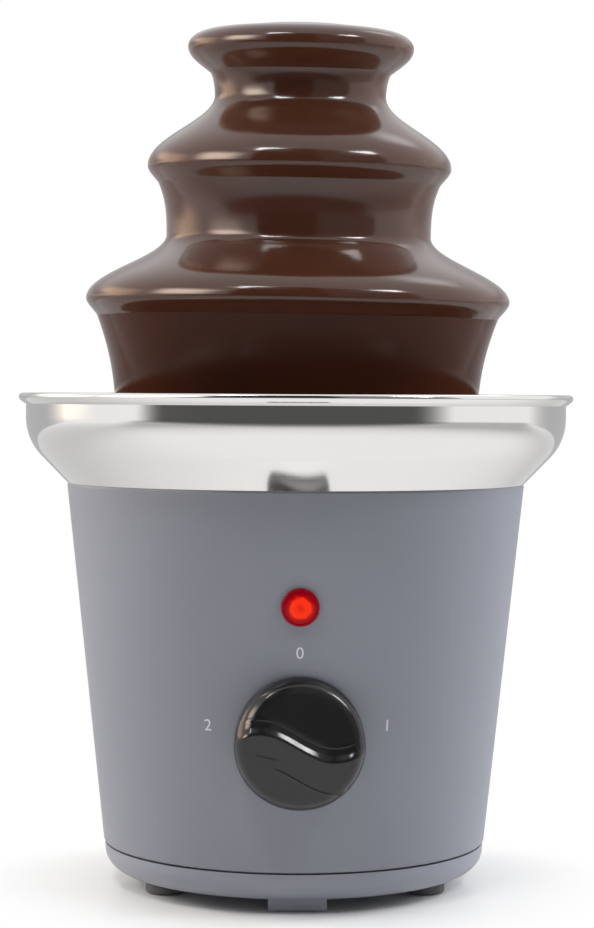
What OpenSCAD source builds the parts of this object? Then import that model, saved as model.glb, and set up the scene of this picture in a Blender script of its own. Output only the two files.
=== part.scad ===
// Table-top chocolate fountain: heated bowl on a tapered housing, lift-off tower and auger.
// Millimetres. Origin on the table at the centre of the base, +Z up, the knob faces -Y.

/* [Bowl] */
// Outer radius of the rolled rim
rim_r = 100; // [96:1:112]
// Height of the top of the rim above the table
rim_top = 176; // [172:1:186]
// Diameter of the rolled bead
bead_d = 3.6; // [3:0.2:5]
// Thickness of the bowl's sheet
bowl_sheet = 1; // [0.6:0.1:1.6]
// Depth from the top of the rim to the floor
bowl_depth = 42; // [36:1:46]
// Height of the straight wall under the top of the rim
wall_drop = 8.6; // [7:0.1:13]
// Radius of the shoulder between the wall and the slope
shoulder_r = 20; // [14:0.5:24]
// Slope of the bowl's side from the vertical, in degrees
bowl_slope = 44; // [41:1:48]
// Radius of the corner between the slope and the floor
floor_fillet = 12; // [6:0.5:16]

/* [Housing] */
// Outer radius of the housing at its lower edge
housing_low_r = 68.9; // [66:0.1:73]
// Outer radius of the housing where the bowl sits
housing_top_r = 82.6; // [79:0.1:86]
// Wall of the housing
housing_wall = 2.5; // [2:0.1:3.2]
// Width of the ring that carries the bowl
seat_w = 7; // [5:0.5:9]
// Height of the feet
foot_h = 4.5; // [3:0.5:8]
// Diameter of a foot
foot_d = 14.6; // [11:0.2:16]
// Radius of the circle on which the feet stand
foot_circle_r = 52.6; // [47:0.1:53]
// Height of the bottom cover's side
cover_h = 9.8; // [8.6:0.2:12]
// Radius of the bottom cover's lower edge
cover_edge_r = 8; // [5:0.5:8.5]
// Gap that shows between the cover and the housing
seam = 0.6; // [0.4:0.1:2]

/* [Controls] */
// Diameter of the knob
knob_d = 43.6; // [36:0.2:46]
// Height of the knob's axis above the table
knob_z = 60.5; // [56:0.5:66]
// Thickness of the knob's disc
knob_disc = 8.4; // [7:0.2:10]
// Height of the grip above the disc
grip_h = 5.6; // [4:0.2:8]
// Width of the grip
grip_w = 6; // [4:0.2:8]
// Diameter of the pilot lamp's lens
lamp_d = 12.8; // [11:0.2:15]
// Height of the pilot lamp above the table
lamp_z = 105.4; // [98:0.2:112]

/* [Tower] */
// Radius of the tube's bore
tube_bore_r = 15.6; // [14:0.1:17]
// Wall of the tube
tube_wall = 2; // [1.6:0.1:2.4]
// Height of the tower's top above the bowl's floor
tower_h = 173.6; // [168:0.1:178]
// Radius of the crown's lip
crown_lip_r = 40.4; // [38:0.1:44]
// Height of the crown's top above its lip
crown_rise = 5.9; // [4.4:0.1:7.4]
// Radius of the middle tier's lip
middle_lip_r = 54.6; // [51:0.1:58]
// Height from the middle tier's lip up to the neck above it
middle_lip_h = 26; // [23:0.1:31]
// Radius of the lower tier's lip
lower_lip_r = 76.3; // [73:0.1:79]
// Height from the lower tier's lip up to the neck above it
lower_lip_h = 23.4; // [20:0.1:28]
// Wall of the tiers
tier_wall = 2.2; // [1.6:0.1:2.6]

/* [Auger] */
// Radius of the auger's core
core_r = 7.5; // [6.5:0.1:9]
// Height of one turn of the flight
pitch = 24; // [20:1:32]
// Thickness of the flight
flight_t = 3; // [2:0.2:4]
// Radius of the drive shaft
shaft_r = 4; // [3.5:0.1:4.5]

/* [Chocolate] */
// Thickness of a falling sheet
sheet_t = 2; // [1.2:0.1:3]
// Radius of the neck under the crown
upper_neck_r = 30.6; // [28:0.1:33]
// Height from the neck under the crown up to the crown's lip
upper_neck_h = 17.9; // [15:0.1:21]
// Radius of the neck under the middle tier
lower_neck_r = 47.6; // [45:0.1:50]
// Height from the neck under the middle tier up to that tier's lip
lower_neck_h = 24.6; // [21:0.1:28]
// Radius of the lowest curtain where it meets the pool
curtain_r = 65; // [62:0.1:68]
// Depth of the pool
pool_depth = 19.7; // [14:0.1:21]

/* [Hidden] */
$fn = 96;

// Clearances
seat_gap = 0.1;
lift_gap = 0.3;
run_gap = 0.05;
hole_gap = 0.2;
cut = 1;

// Heights up the base
floor_z = rim_top - bowl_depth;
floor_under = floor_z - bowl_sheet;
cover_z = foot_h;
housing_z = foot_h + cover_h + seam;

// Bowl: centres of the shoulder and of the floor's corner
wall_r = rim_r - bead_d + bowl_sheet;
shoulder_x = wall_r - shoulder_r;
shoulder_z = rim_top - wall_drop;
corner_z = floor_under + floor_fillet;
corner_x = shoulder_x + (shoulder_r - floor_fillet + (corner_z - shoulder_z) * sin(bowl_slope)) / cos(bowl_slope);
drain_r = 8;
seal_lip = 3;
seal_h = 5;

// Points of an arc, of a cubic curve, and of the bowl's side a distance inside its outer face
curve_steps = 12;
function arc(centre, r, from, to) =
    [for (i = [0:curve_steps]) let (a = from + (to - from) * i / curve_steps) centre + r * [cos(a), sin(a)]];
function cubic(a, b, c, d) =
    [for (i = [0:curve_steps]) let (t = i / curve_steps, s = 1 - t)
        a * s * s * s + 3 * b * s * s * t + 3 * c * s * t * t + d * t * t * t];
function bowl_corner(inset) = arc([corner_x, corner_z], floor_fillet - inset, -90, -bowl_slope);
function bowl_shoulder(inset) = arc([shoulder_x, shoulder_z], shoulder_r - inset, -bowl_slope, 0);
function bowl_slope_z(r, inset) =
    shoulder_z + ((r - shoulder_x) * cos(bowl_slope) - shoulder_r + inset) / sin(bowl_slope);
function bowl_slope_r(z, inset) =
    shoulder_x + ((z - shoulder_z) * sin(bowl_slope) + shoulder_r - inset) / cos(bowl_slope);
function bowl_side_r(z, inset) = z > shoulder_z - (shoulder_r - inset) * sin(bowl_slope)
    ? shoulder_x + sqrt(pow(shoulder_r - inset, 2) - pow(z - shoulder_z, 2))
    : bowl_slope_r(z, inset);

// Housing: a cone up to the bowl's slope
housing_top_z = bowl_slope_z(housing_top_r, -seat_gap);
taper = atan((housing_top_r - housing_low_r) / (housing_top_z - housing_z));
function outer_r(z) = housing_low_r + (z - housing_z) * tan(taper);
function inner_r(z) = outer_r(z) - housing_wall;
seat_in_r = housing_top_r - seat_w;
seat_in_z = bowl_slope_z(seat_in_r, -seat_gap);
seat_t = 2.5;
haunch_z = seat_in_z - seat_t - seat_w;

// Screws
screw_r = 1.5;
head_r = 3;
head_h = 1.8;
thread_r = screw_r - run_gap;

// Bottom cover
cover_wall = 2.5;
cover_inset = 0.4;
cover_r = housing_low_r - cover_inset;
cover_flat_r = cover_r - cover_edge_r;
cover_floor_z = cover_z + cover_wall;
spigot_r = inner_r(housing_z) - lift_gap;
spigot_t = 1.8;
spigot_h = 4;
spigot_top = housing_z + spigot_h;
spigot_in_r = spigot_r - spigot_t;
cover_in_fillet = cover_edge_r - cover_wall;
boss_r = 4.5;
boss_gap = 0.5;
boss_circle_r = spigot_in_r - cover_in_fillet - boss_r - boss_gap;
boss_rise = 24;
boss_top = spigot_top + boss_rise;
rib_t = 3;
screw_angles = [45, 135, 225, 315];
foot_angles = [30, 150, 210, 330];
foot_edge = 1;
stem_r = 3;
bulb_r = 4;
bulb_tip_r = 2.5;
pad_w = 20;
pad_t = 6;
pad_y = 54;
pad_lift = 0.5;
vent_count = 12;
vent_in_r = 16;
vent_out_r = 34;
vent_w = 3;

// Heater plate under the bowl's flat floor
plate_edge = 3;
plate_w = 20.2;
plate_out_r = corner_x - plate_edge;
plate_in_r = plate_out_r - plate_w;
plate_t = 2;
plate_z = floor_under - plate_t;
element_r = 3.3;
element_ring_r = (plate_in_r + plate_out_r) / 2;
element_z = plate_z - run_gap - element_r;
element_gap = 70;
element_pin = 12;
pin_angle = 4;
thermostat_r = 8;
thermostat_h = 7;
thermostat_cap_r = 4.8;
thermostat_cap_h = 3.5;

// Motor and its bracket, hung on standoffs inside the heater plate
standoff_len = 19;
standoff_r = 4;
bracket_edge = 2;
bracket_r = plate_in_r;
standoff_circle_r = bracket_r - bracket_edge - standoff_r;
standoff_angles = [30, 150, 270];
bracket_t = 2;
bracket_top = floor_under - standoff_len;
bracket_z = bracket_top - bracket_t;
arm_angles = [90, 210, 330];
lug_r = 6;
lug_h = 8;
lug_gap = 5;
lug_circle_r = inner_r(bracket_z) - lug_r - lug_gap;
head_gap = 3;
gearbox_r = standoff_circle_r - head_r - head_gap;
gearbox_h = 24;
gearbox_z = bracket_z - gearbox_h;
gearbox_screw_inset = 8;
gearbox_screw_r = gearbox_r - gearbox_screw_inset;
shaft_depth = 14;
shaft_hole_gap = 1;
motor_inset = 3;
motor_r = gearbox_r - motor_inset;
motor_h = 28;
motor_z = gearbox_z - motor_h;
gearbox_edge = 3;
motor_cap_r = 9;
motor_cap_h = 4;

// Knob and switch, along the normal of the wall
knob_r = knob_d / 2;
knob_gap = 1;
knob_face = knob_gap + knob_disc;
knob_edge_r = 2.6;
knob_skirt = 3;
knob_roof_t = 4;
knob_roof = knob_face - knob_roof_t;
hub_r = 5.5;
spindle_r = 3;
spindle_flat = 0.8;
bushing_r = 4.5;
bushing_out = 3;
nut_r = 7;
nut_h = 2.4;
switch_gap = 0.4;
switch_face = -housing_wall - switch_gap;
switch_shoulder = 2;
switch_shoulder_w = 2;
switch_r = 14;
switch_h = 14;
wave = 4.7;
wave_length = 52;
step_w = 8;
step_h = 1.2;
grip_round = 0.7;

// Lamp
lamp_r = lamp_d / 2;
lamp_stem_r = 4;
lamp_dome = 2.6;
dome_side = 0.85;
dome_flat = 0.75;
lamp_stem_h = 8;
lamp_holder_wall = 1.2;
lamp_holder_r = lamp_stem_r + lamp_holder_wall;
lamp_holder_h = 17;
lamp_gap = 0.55;
lamp_back = -housing_wall - lamp_gap;
lamp_clip_r = 8;
lamp_clip_t = 0.8;

// Cord gland at the back
gland_z = 34;
gland_bore_r = 3.4;
gland_r = 6;
gland_flange_r = 9;
gland_flange_t = 3;
gland_cone_r = 7.5;
gland_tip_r = 5;
gland_out = 9;
gland_face = outer_r(gland_z + gland_flange_r) + seat_gap;
gland_back = sqrt(pow(inner_r(gland_z - gland_flange_r), 2) - pow(gland_flange_r, 2)) - seat_gap;
gland_nut_t = 4;
block_w = 32;
block_d = 14;
block_h = 10;
block_y = 18;
block_rib = 2;
block_ways = 3;

// Tower and auger
tower_z = floor_z + lift_gap;
tube_r = tube_bore_r + tube_wall;
tower_flange_w = 4.4;
tower_flange_r = tube_r + tower_flange_w;
tower_flange_t = 3;
arch_w = 13;
arch_h = 5;
arch_angles = [60, 180, 300];
hub_wall = 2.4;
hub_out_r = tube_r + hub_wall;

// Levels of the flow, from the crown down
crown_top_z = floor_z + tower_h;
crown_lip_z = crown_top_z - crown_rise;
upper_neck_z = crown_lip_z - upper_neck_h;
middle_lip_z = upper_neck_z - middle_lip_h;
lower_neck_z = middle_lip_z - lower_neck_h;
lower_lip_z = lower_neck_z - lower_lip_h;
pool_z = floor_z + pool_depth;

// Tiers and crown, a cover of chocolate inside the flow's outline
lip_cover = 2.1;
lip_rise = 0.9;
neck_cover = 6.4;
tier_hub_h = 14;
middle_edge_r = middle_lip_r - lip_cover;
middle_edge_z = middle_lip_z + lip_rise;
middle_slope = atan((middle_lip_h - lip_rise - neck_cover) / (middle_edge_r - upper_neck_r + sheet_t));
lower_edge_r = lower_lip_r - lip_cover;
lower_edge_z = lower_lip_z + lip_rise;
lower_slope = atan((lower_lip_h - lip_rise - neck_cover) / (lower_edge_r - lower_neck_r + sheet_t));
tube_drop = 10;
tube_top_z = crown_top_z - tube_drop;
crown_cover = 2.3;
crown_edge_drop = 2;
crown_edge_r = crown_lip_r - crown_cover;
crown_edge_z = crown_lip_z - crown_edge_drop;
crown_wall = 1.8;
crown_seat = 3;
crown_floor_z = tube_top_z - crown_seat;
crown_hub_h = 2.4;
function crown_under_z(r) = crown_edge_z - crown_wall - (crown_edge_r - r)
    * (crown_edge_z - crown_floor_z) / (crown_edge_r - hub_out_r);

// Auger and shaft
auger_lift = 7.3;
auger_z = floor_z + auger_lift;
auger_drop = 0.5;
auger_top = tube_top_z - auger_drop;
flight_gap = 0.6;
flight_r = tube_bore_r - flight_gap;
core_gap = 0.15;
flight_in_r = core_r + core_gap;
slices_per_turn = 30;
hex_cut = 0.2;
hex_r = shaft_r - hex_cut;
hex_len = 22;
hex_gap = 0.15;
shaft_flange_w = 2.5;
shaft_flange_r = shaft_r + shaft_flange_w;
shaft_flange_t = 2;
collar_r = 7;
collar_h = 4;

// Chocolate: gaps, folds under the lips, and how far the curves' handles reach as shares of each stretch
pool_gap = 0.6;
pool_in_r = tower_flange_r + pool_gap;
well_gap = 0.4;
well_r = tube_bore_r - well_gap;
well_edge = 2;
crown_flat = 13.9;
crown_flat_r = crown_lip_r - crown_flat;
fold_in = 4;
fold_drop = 6;
neck_pull = 0.36;
lip_pull = 0.415;
roll_pull = 0.3;
fold_pull = 0.3;
draw_in = 0.7;
fall_pull = 0.28;
hang_pull = 0.52;
crown_flat_pull = 0.75;
crown_lip_pull = 0.5;
crown_under_pull = 0.28;
crown_neck_pull = 0.53;
middle_fold = [middle_lip_r - fold_in, middle_lip_z - fold_drop];
lower_fold = [lower_lip_r - fold_in, lower_lip_z - fold_drop];

function reverse(list) = [for (i = [len(list) - 1:-1:0]) list[i]];
function tier_z(r, edge_r, edge_z, slope) = edge_z + (edge_r - r) * tan(slope);

// Local frame on the front wall: x to the right, y up, z out along the wall's normal
module on_front(z) {
    translate([0, -outer_r(z), z])
        rotate([90 + taper, 0, 0])
            children();
}

module on_circle(r, angles) {
    for (a = angles)
        rotate(a)
            translate([r, 0, 0])
                children();
}

module ring(outer, inner, z, h) {
    translate([0, 0, z])
        difference() {
            cylinder(r = outer, h = h);
            translate([0, 0, -cut])
                cylinder(r = inner, h = h + 2 * cut);
        }
}

module pan_screw(z, length) {
    translate([0, 0, z - head_h])
        cylinder(r = head_r, h = head_h);
    translate([0, 0, z - run_gap])
        cylinder(r = thread_r, h = length);
}

// Housing: tapered shell with a seat for the bowl, lugs for the bracket and posts for the cover
module wall_core() {
    rotate_extrude()
        polygon([[0, housing_z], [inner_r(housing_z) + housing_wall / 2, housing_z],
            [inner_r(haunch_z) + housing_wall / 2, haunch_z], [0, haunch_z]]);
}

module lugs() {
    for (a = arm_angles)
        rotate(a)
            translate([lug_circle_r, 0, bracket_z - lug_h]) {
                cylinder(r = lug_r, h = lug_h);
                translate([0, -lug_r, 0])
                    cube([housing_top_r, 2 * lug_r, lug_h]);
            }
}

module post_ribs() {
    for (a = screw_angles)
        rotate(a)
            translate([boss_circle_r, -rib_t / 2, spigot_top + cut])
                cube([housing_top_r, rib_t, boss_top - spigot_top - cut]);
}

module housing() {
    color([0.49, 0.49, 0.53])
        difference() {
            union() {
                rotate_extrude()
                    polygon([[housing_low_r, housing_z], [housing_top_r, housing_top_z], [seat_in_r, seat_in_z],
                        [seat_in_r, seat_in_z - seat_t], [inner_r(haunch_z), haunch_z],
                        [inner_r(housing_z), housing_z]]);
                intersection() {
                    union() {
                        lugs();
                        post_ribs();
                    }
                    wall_core();
                }
                on_circle(boss_circle_r, screw_angles)
                    translate([0, 0, cover_floor_z])
                        cylinder(r = boss_r, h = boss_top - cover_floor_z);
            }
            on_circle(boss_circle_r, screw_angles)
                translate([0, 0, cover_z])
                    cylinder(r = screw_r, h = boss_top - cover_z - head_r);
            on_circle(lug_circle_r, arm_angles)
                translate([0, 0, bracket_z - lug_h - cut])
                    cylinder(r = screw_r + hole_gap, h = lug_h + 2 * cut);
            on_front(knob_z)
                translate([0, 0, -2 * housing_wall])
                    cylinder(r = bushing_r + hole_gap, h = 4 * housing_wall);
            on_front(lamp_z)
                translate([0, 0, -2 * housing_wall])
                    cylinder(r = lamp_stem_r + hole_gap, h = 4 * housing_wall);
            translate([0, gland_back - cut, gland_z])
                rotate([-90, 0, 0])
                    cylinder(r = gland_r + hole_gap, h = gland_face - gland_back + 2 * cut);
        }
}

// Bottom cover: a dish that plugs into the housing
module vent_slot() {
    translate([vent_in_r, 0, cover_z - cut]) {
        cylinder(r = vent_w / 2, h = cover_wall + 2 * cut);
        translate([0, -vent_w / 2, 0])
            cube([vent_out_r - vent_in_r, vent_w, cover_wall + 2 * cut]);
        translate([vent_out_r - vent_in_r, 0, 0])
            cylinder(r = vent_w / 2, h = cover_wall + 2 * cut);
    }
}

module bottom_cover() {
    color([0.45, 0.45, 0.49])
        difference() {
            union() {
                rotate_extrude()
                    polygon(concat([[0, cover_z]],
                        arc([cover_flat_r, cover_z + cover_edge_r], cover_edge_r, -90, 0),
                        [[cover_r, cover_z + cover_h], [spigot_r, cover_z + cover_h], [spigot_r, spigot_top],
                        [spigot_in_r, spigot_top]],
                        arc([spigot_in_r - cover_in_fillet, cover_floor_z + cover_in_fillet], cover_in_fillet, 0, -90),
                        [[0, cover_floor_z]]));
                for (side = [0, 180])
                    rotate(side)
                        translate([-pad_w / 2, -pad_y - pad_t, pad_lift])
                            cube([pad_w, pad_t, cover_floor_z - pad_lift]);
            }
            for (i = [0:vent_count - 1])
                rotate((i + 0.5) * 360 / vent_count)
                    vent_slot();
            on_circle(foot_circle_r, foot_angles)
                translate([0, 0, cover_z - cut])
                    cylinder(r = stem_r + seat_gap, h = cover_wall + 2 * cut);
            on_circle(boss_circle_r, screw_angles) {
                translate([0, 0, cover_z - cut])
                    cylinder(r = screw_r + hole_gap, h = cover_wall + 2 * cut);
                translate([0, 0, cover_z - seat_gap])
                    cylinder(r1 = head_r + hole_gap + seat_gap, r2 = screw_r + hole_gap, h = head_h + seat_gap);
            }
        }
}

module feet() {
    color([0.12, 0.12, 0.13])
        on_circle(foot_circle_r, foot_angles)
            rotate_extrude()
                polygon(concat([[0, 0]], arc([foot_d / 2 - foot_edge, foot_edge], foot_edge, -90, 0),
                    [[foot_d / 2, foot_h], [stem_r, foot_h], [stem_r, cover_floor_z + seat_gap],
                    [bulb_r, cover_floor_z + seat_gap], [bulb_tip_r, cover_floor_z + bulb_r],
                    [0, cover_floor_z + bulb_r]]));
}

module cover_screws() {
    color("silver")
        on_circle(boss_circle_r, screw_angles)
            translate([0, 0, cover_z]) {
                cylinder(r1 = head_r, r2 = thread_r, h = head_h);
                cylinder(r = thread_r, h = boss_top - cover_z - boss_r);
            }
}

// Bowl: spun sheet with a rolled bead
bead_r = bead_d / 2;
bead_centre = [rim_r - bead_r, rim_top - bead_r];
bead_start = acos((wall_r - bead_centre[0]) / bead_r);

module bowl() {
    color([0.80, 0.80, 0.81])
        rotate_extrude()
            polygon(concat([[drain_r, floor_under]], bowl_corner(0), bowl_shoulder(0),
                arc(bead_centre, bead_r, -bead_start, 180),
                reverse(bowl_shoulder(bowl_sheet)), reverse(bowl_corner(bowl_sheet)), [[drain_r, floor_z]]));
}

module bowl_seal() {
    color([0.2, 0.2, 0.2])
        rotate_extrude()
            polygon([[shaft_r + run_gap, floor_under - seal_h], [drain_r + seal_lip, floor_under - seal_h],
                [drain_r + seal_lip, floor_under], [drain_r, floor_under], [drain_r, floor_z],
                [drain_r + seal_lip, floor_z], [drain_r, floor_z + seal_lip], [shaft_r + run_gap, floor_z + seal_lip]]);
}

// Heater under the floor
module heater_plate() {
    color([0.75, 0.75, 0.77])
        ring(plate_out_r, plate_in_r, plate_z, plate_t);
}

module heater_tube() {
    color([0.55, 0.55, 0.57]) {
        translate([0, 0, element_z])
            rotate(90 + element_gap / 2)
                rotate_extrude(angle = 360 - element_gap)
                    translate([element_ring_r, 0])
                        circle(r = element_r);
        on_circle(element_ring_r, [90 - element_gap / 2 - pin_angle, 90 + element_gap / 2 + pin_angle])
            translate([0, 0, element_z - element_pin])
                cylinder(r = element_r / 2, h = element_pin);
    }
}

module thermostat() {
    color([0.85, 0.83, 0.78])
        on_circle(element_ring_r, [90])
            translate([0, 0, plate_z - thermostat_h]) {
                cylinder(r = thermostat_r, h = thermostat_h);
                translate([0, 0, -thermostat_cap_h])
                    cylinder(r = thermostat_cap_r, h = thermostat_cap_h + cut);
            }
}

// Motor unit hung on standoffs under the bowl and tied to the housing's lugs
module standoffs() {
    color("silver")
        on_circle(standoff_circle_r, standoff_angles)
            difference() {
                translate([0, 0, bracket_top])
                    cylinder(r = standoff_r, h = standoff_len);
                translate([0, 0, bracket_top - cut])
                    cylinder(r = screw_r, h = standoff_len / 2 + cut);
            }
}

module standoff_screws() {
    color("silver")
        on_circle(standoff_circle_r, standoff_angles)
            pan_screw(bracket_z, bracket_t + standoff_len / 2 - head_h);
}

module motor_bracket() {
    color([0.7, 0.7, 0.72])
        difference() {
            union() {
                translate([0, 0, bracket_z])
                    cylinder(r = bracket_r, h = bracket_t);
                for (a = arm_angles)
                    rotate(a) {
                        translate([0, -lug_r, bracket_z])
                            cube([lug_circle_r, 2 * lug_r, bracket_t]);
                        translate([lug_circle_r, 0, bracket_z])
                            cylinder(r = lug_r, h = bracket_t);
                    }
            }
            translate([0, 0, bracket_z - cut])
                cylinder(r = shaft_r + shaft_hole_gap, h = bracket_t + 2 * cut);
            translate([0, 0, bracket_z - cut]) {
                on_circle(standoff_circle_r, standoff_angles)
                    cylinder(r = screw_r + hole_gap, h = bracket_t + 2 * cut);
                on_circle(lug_circle_r, arm_angles)
                    cylinder(r = screw_r, h = bracket_t + 2 * cut);
                on_circle(gearbox_screw_r, screw_angles)
                    cylinder(r = screw_r + hole_gap, h = bracket_t + 2 * cut);
            }
        }
}

module bracket_screws() {
    color("silver")
        on_circle(lug_circle_r, arm_angles)
            pan_screw(bracket_z - lug_h, lug_h + bracket_t + head_h);
}

module gearbox() {
    color([0.62, 0.63, 0.65])
        difference() {
            translate([0, 0, gearbox_z])
                rotate_extrude()
                    polygon(concat([[0, 0]], arc([gearbox_r - gearbox_edge, gearbox_edge], gearbox_edge, -90, 0),
                        [[gearbox_r, gearbox_h], [0, gearbox_h]]));
            translate([0, 0, bracket_z - shaft_depth])
                cylinder(r = shaft_r + run_gap, h = shaft_depth + cut);
            on_circle(gearbox_screw_r, screw_angles)
                translate([0, 0, bracket_z - shaft_depth])
                    cylinder(r = screw_r, h = shaft_depth + cut);
        }
}

module gearbox_screws() {
    color("silver")
        on_circle(gearbox_screw_r, screw_angles)
            translate([0, 0, bracket_top])
                mirror([0, 0, 1])
                    pan_screw(0, bracket_t + shaft_depth - head_h);
}

module motor() {
    color([0.35, 0.36, 0.38]) {
        translate([0, 0, motor_z])
            rotate_extrude()
                polygon(concat([[0, -motor_cap_h], [motor_cap_r, -motor_cap_h], [motor_cap_r, 0]],
                    arc([motor_r - gearbox_edge, gearbox_edge], gearbox_edge, -90, 0),
                    [[motor_r, motor_h], [0, motor_h]]));
    }
}

// Rotary switch behind the front wall, its nut, and the pilot lamp
module rotary_switch() {
    color([0.15, 0.15, 0.16])
        on_front(knob_z)
            difference() {
                union() {
                    translate([0, 0, switch_face - switch_shoulder - switch_h])
                        cylinder(r = switch_r, h = switch_h);
                    translate([0, 0, switch_face - switch_shoulder - cut])
                        cylinder(r = bushing_r + switch_shoulder_w, h = switch_shoulder + cut);
                    translate([0, 0, switch_face - cut])
                        cylinder(r = bushing_r, h = bushing_out - switch_face + cut);
                }
                translate([0, 0, switch_face - switch_h])
                    cylinder(r = spindle_r + run_gap, h = switch_h + bushing_out - switch_face + cut);
            }
}

module switch_nut() {
    color("silver")
        on_front(knob_z)
            translate([0, 0, seat_gap])
                difference() {
                    cylinder(r = nut_r, h = nut_h, $fn = 6);
                    translate([0, 0, -cut])
                        cylinder(r = bushing_r + run_gap, h = nut_h + 2 * cut);
                }
}

module lamp_lens() {
    color([0.9, 0.1, 0.05])
        on_front(lamp_z)
            rotate_extrude()
                polygon(concat([[0, -lamp_stem_h], [lamp_stem_r, -lamp_stem_h], [lamp_stem_r, seat_gap],
                    [lamp_r, seat_gap]],
                    cubic([lamp_r, lamp_dome / 2], [lamp_r, lamp_dome * dome_side], [lamp_r * dome_flat, lamp_dome],
                        [0, lamp_dome])));
}

module lamp_holder() {
    color([0.92, 0.92, 0.90])
        on_front(lamp_z)
            translate([0, 0, lamp_back - lamp_holder_h])
                difference() {
                    cylinder(r = lamp_holder_r, h = lamp_holder_h);
                    translate([0, 0, lamp_holder_h - lamp_stem_h])
                        cylinder(r = lamp_stem_r + run_gap, h = lamp_stem_h + cut);
                }
}

module lamp_clip() {
    color("silver")
        on_front(lamp_z)
            ring(lamp_clip_r, lamp_holder_r + run_gap, lamp_back - lamp_clip_t, lamp_clip_t);
}

// Cord gland at the back, and the block where the mains wires end
module cord_gland() {
    color([0.1, 0.1, 0.1])
        translate([0, 0, gland_z])
            rotate([-90, 0, 0])
                difference() {
                    union() {
                        translate([0, 0, gland_back - gland_nut_t - cut])
                            cylinder(r = gland_r, h = gland_face - gland_back + gland_nut_t + 2 * cut);
                        translate([0, 0, gland_face])
                            cylinder(r = gland_flange_r, h = gland_flange_t);
                        translate([0, 0, gland_face + gland_flange_t - seat_gap])
                            cylinder(r1 = gland_cone_r, r2 = gland_tip_r, h = gland_out - gland_flange_t);
                    }
                    translate([0, 0, gland_back - gland_nut_t - 2 * cut])
                        cylinder(r = gland_bore_r, h = gland_face + gland_out - gland_back + gland_nut_t + 3 * cut);
                }
}

module gland_nut() {
    color([0.1, 0.1, 0.1])
        translate([0, 0, gland_z])
            rotate([-90, 0, 0])
                translate([0, 0, gland_back - gland_nut_t])
                    difference() {
                        cylinder(r = gland_flange_r, h = gland_nut_t, $fn = 6);
                        translate([0, 0, -cut])
                            cylinder(r = gland_r + run_gap, h = gland_nut_t + 2 * cut);
                    }
}

module terminal_block() {
    color([0.95, 0.94, 0.9])
        translate([-block_w / 2, block_y, cover_floor_z]) {
            cube([block_w, block_d, block_h]);
            for (i = [0:block_ways])
                translate([i * (block_w - block_rib) / block_ways, 0, 0])
                    cube([block_rib, block_d, block_h + block_rib]);
        }
}

// Knob: a round disc with an S-shaped grip, hollow behind
function wave_y(x) = -wave * sin(360 * x / wave_length);
wave_steps = 24;
wave_xs = [for (i = [0:wave_steps]) knob_r * (2 * i / wave_steps - 1)];

module wave_band(top, bottom) {
    polygon(concat([for (x = wave_xs) [x, wave_y(x) + bottom]], reverse([for (x = wave_xs) [x, wave_y(x) + top]])));
}

module knob() {
    color([0.05, 0.05, 0.055])
        on_front(knob_z)
            difference() {
                union() {
                    rotate_extrude()
                        polygon(concat([[0, knob_gap], [knob_r, knob_gap]],
                            arc([knob_r - knob_edge_r, knob_face - knob_edge_r], knob_edge_r, 0, 90),
                            [[0, knob_face]]));
                    intersection() {
                        translate([0, 0, knob_roof])
                            linear_extrude(knob_disc + grip_h)
                                wave_band(grip_w / 2, -grip_w / 2);
                        rotate_extrude()
                            polygon(concat([[0, knob_roof], [knob_r - knob_edge_r, knob_roof]],
                                cubic([knob_r - knob_edge_r, knob_face], [knob_r - knob_edge_r, knob_face + grip_h * grip_round],
                                    [knob_r - 2 * knob_edge_r, knob_face + grip_h], [knob_r / 2, knob_face + grip_h]),
                                [[0, knob_face + grip_h]]));
                    }
                    intersection() {
                        translate([0, 0, knob_roof])
                            linear_extrude(knob_face - knob_roof + step_h)
                                wave_band(-grip_w / 2 + cut, -grip_w / 2 - step_w);
                        translate([0, 0, knob_roof])
                            cylinder(r = knob_r - knob_edge_r, h = knob_disc);
                    }
                }
                ring(knob_r - knob_skirt, hub_r, knob_gap - cut, knob_roof - knob_gap + cut);
                translate([0, 0, knob_gap - cut])
                    cylinder(r = hub_r + cut, h = bushing_out + lift_gap + cut - knob_gap);
                translate([0, 0, knob_gap])
                    cylinder(r = spindle_r + run_gap, h = knob_face - knob_gap - cut);
            }
}

module switch_spindle() {
    color("silver")
        on_front(knob_z)
            difference() {
                translate([0, 0, switch_face - switch_h + 2 * run_gap])
                    cylinder(r = spindle_r, h = knob_face - cut - switch_face + switch_h - 4 * run_gap);
                translate([-spindle_r, spindle_r - spindle_flat, bushing_out + lift_gap])
                    cube([2 * spindle_r, spindle_r, knob_face]);
            }
}

// Drive: the gearbox's output shaft with a hexagonal end
module drive_shaft() {
    color([0.72, 0.72, 0.74]) {
        translate([0, 0, bracket_z - shaft_depth + lift_gap])
            cylinder(r = shaft_r, h = auger_z - 2 * lift_gap - bracket_z + shaft_depth);
        translate([0, 0, auger_z - lift_gap - shaft_flange_t])
            cylinder(r = shaft_flange_r, h = shaft_flange_t);
        translate([0, 0, auger_z - lift_gap - cut])
            cylinder(r = hex_r, h = hex_len + cut, $fn = 6);
    }
}

module shaft_collar() {
    color([0.6, 0.6, 0.62])
        ring(collar_r, shaft_r + run_gap / 2, bracket_top + lift_gap, collar_h);
}

// Auger: core with a hexagonal socket and one helical flight
module auger_core() {
    color([0.93, 0.93, 0.92])
        difference() {
            translate([0, 0, auger_z])
                cylinder(r = core_r, h = auger_top - auger_z);
            translate([0, 0, auger_z - cut])
                cylinder(r = hex_r + hex_gap, h = hex_len + 2 * cut, $fn = 6);
        }
}

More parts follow.
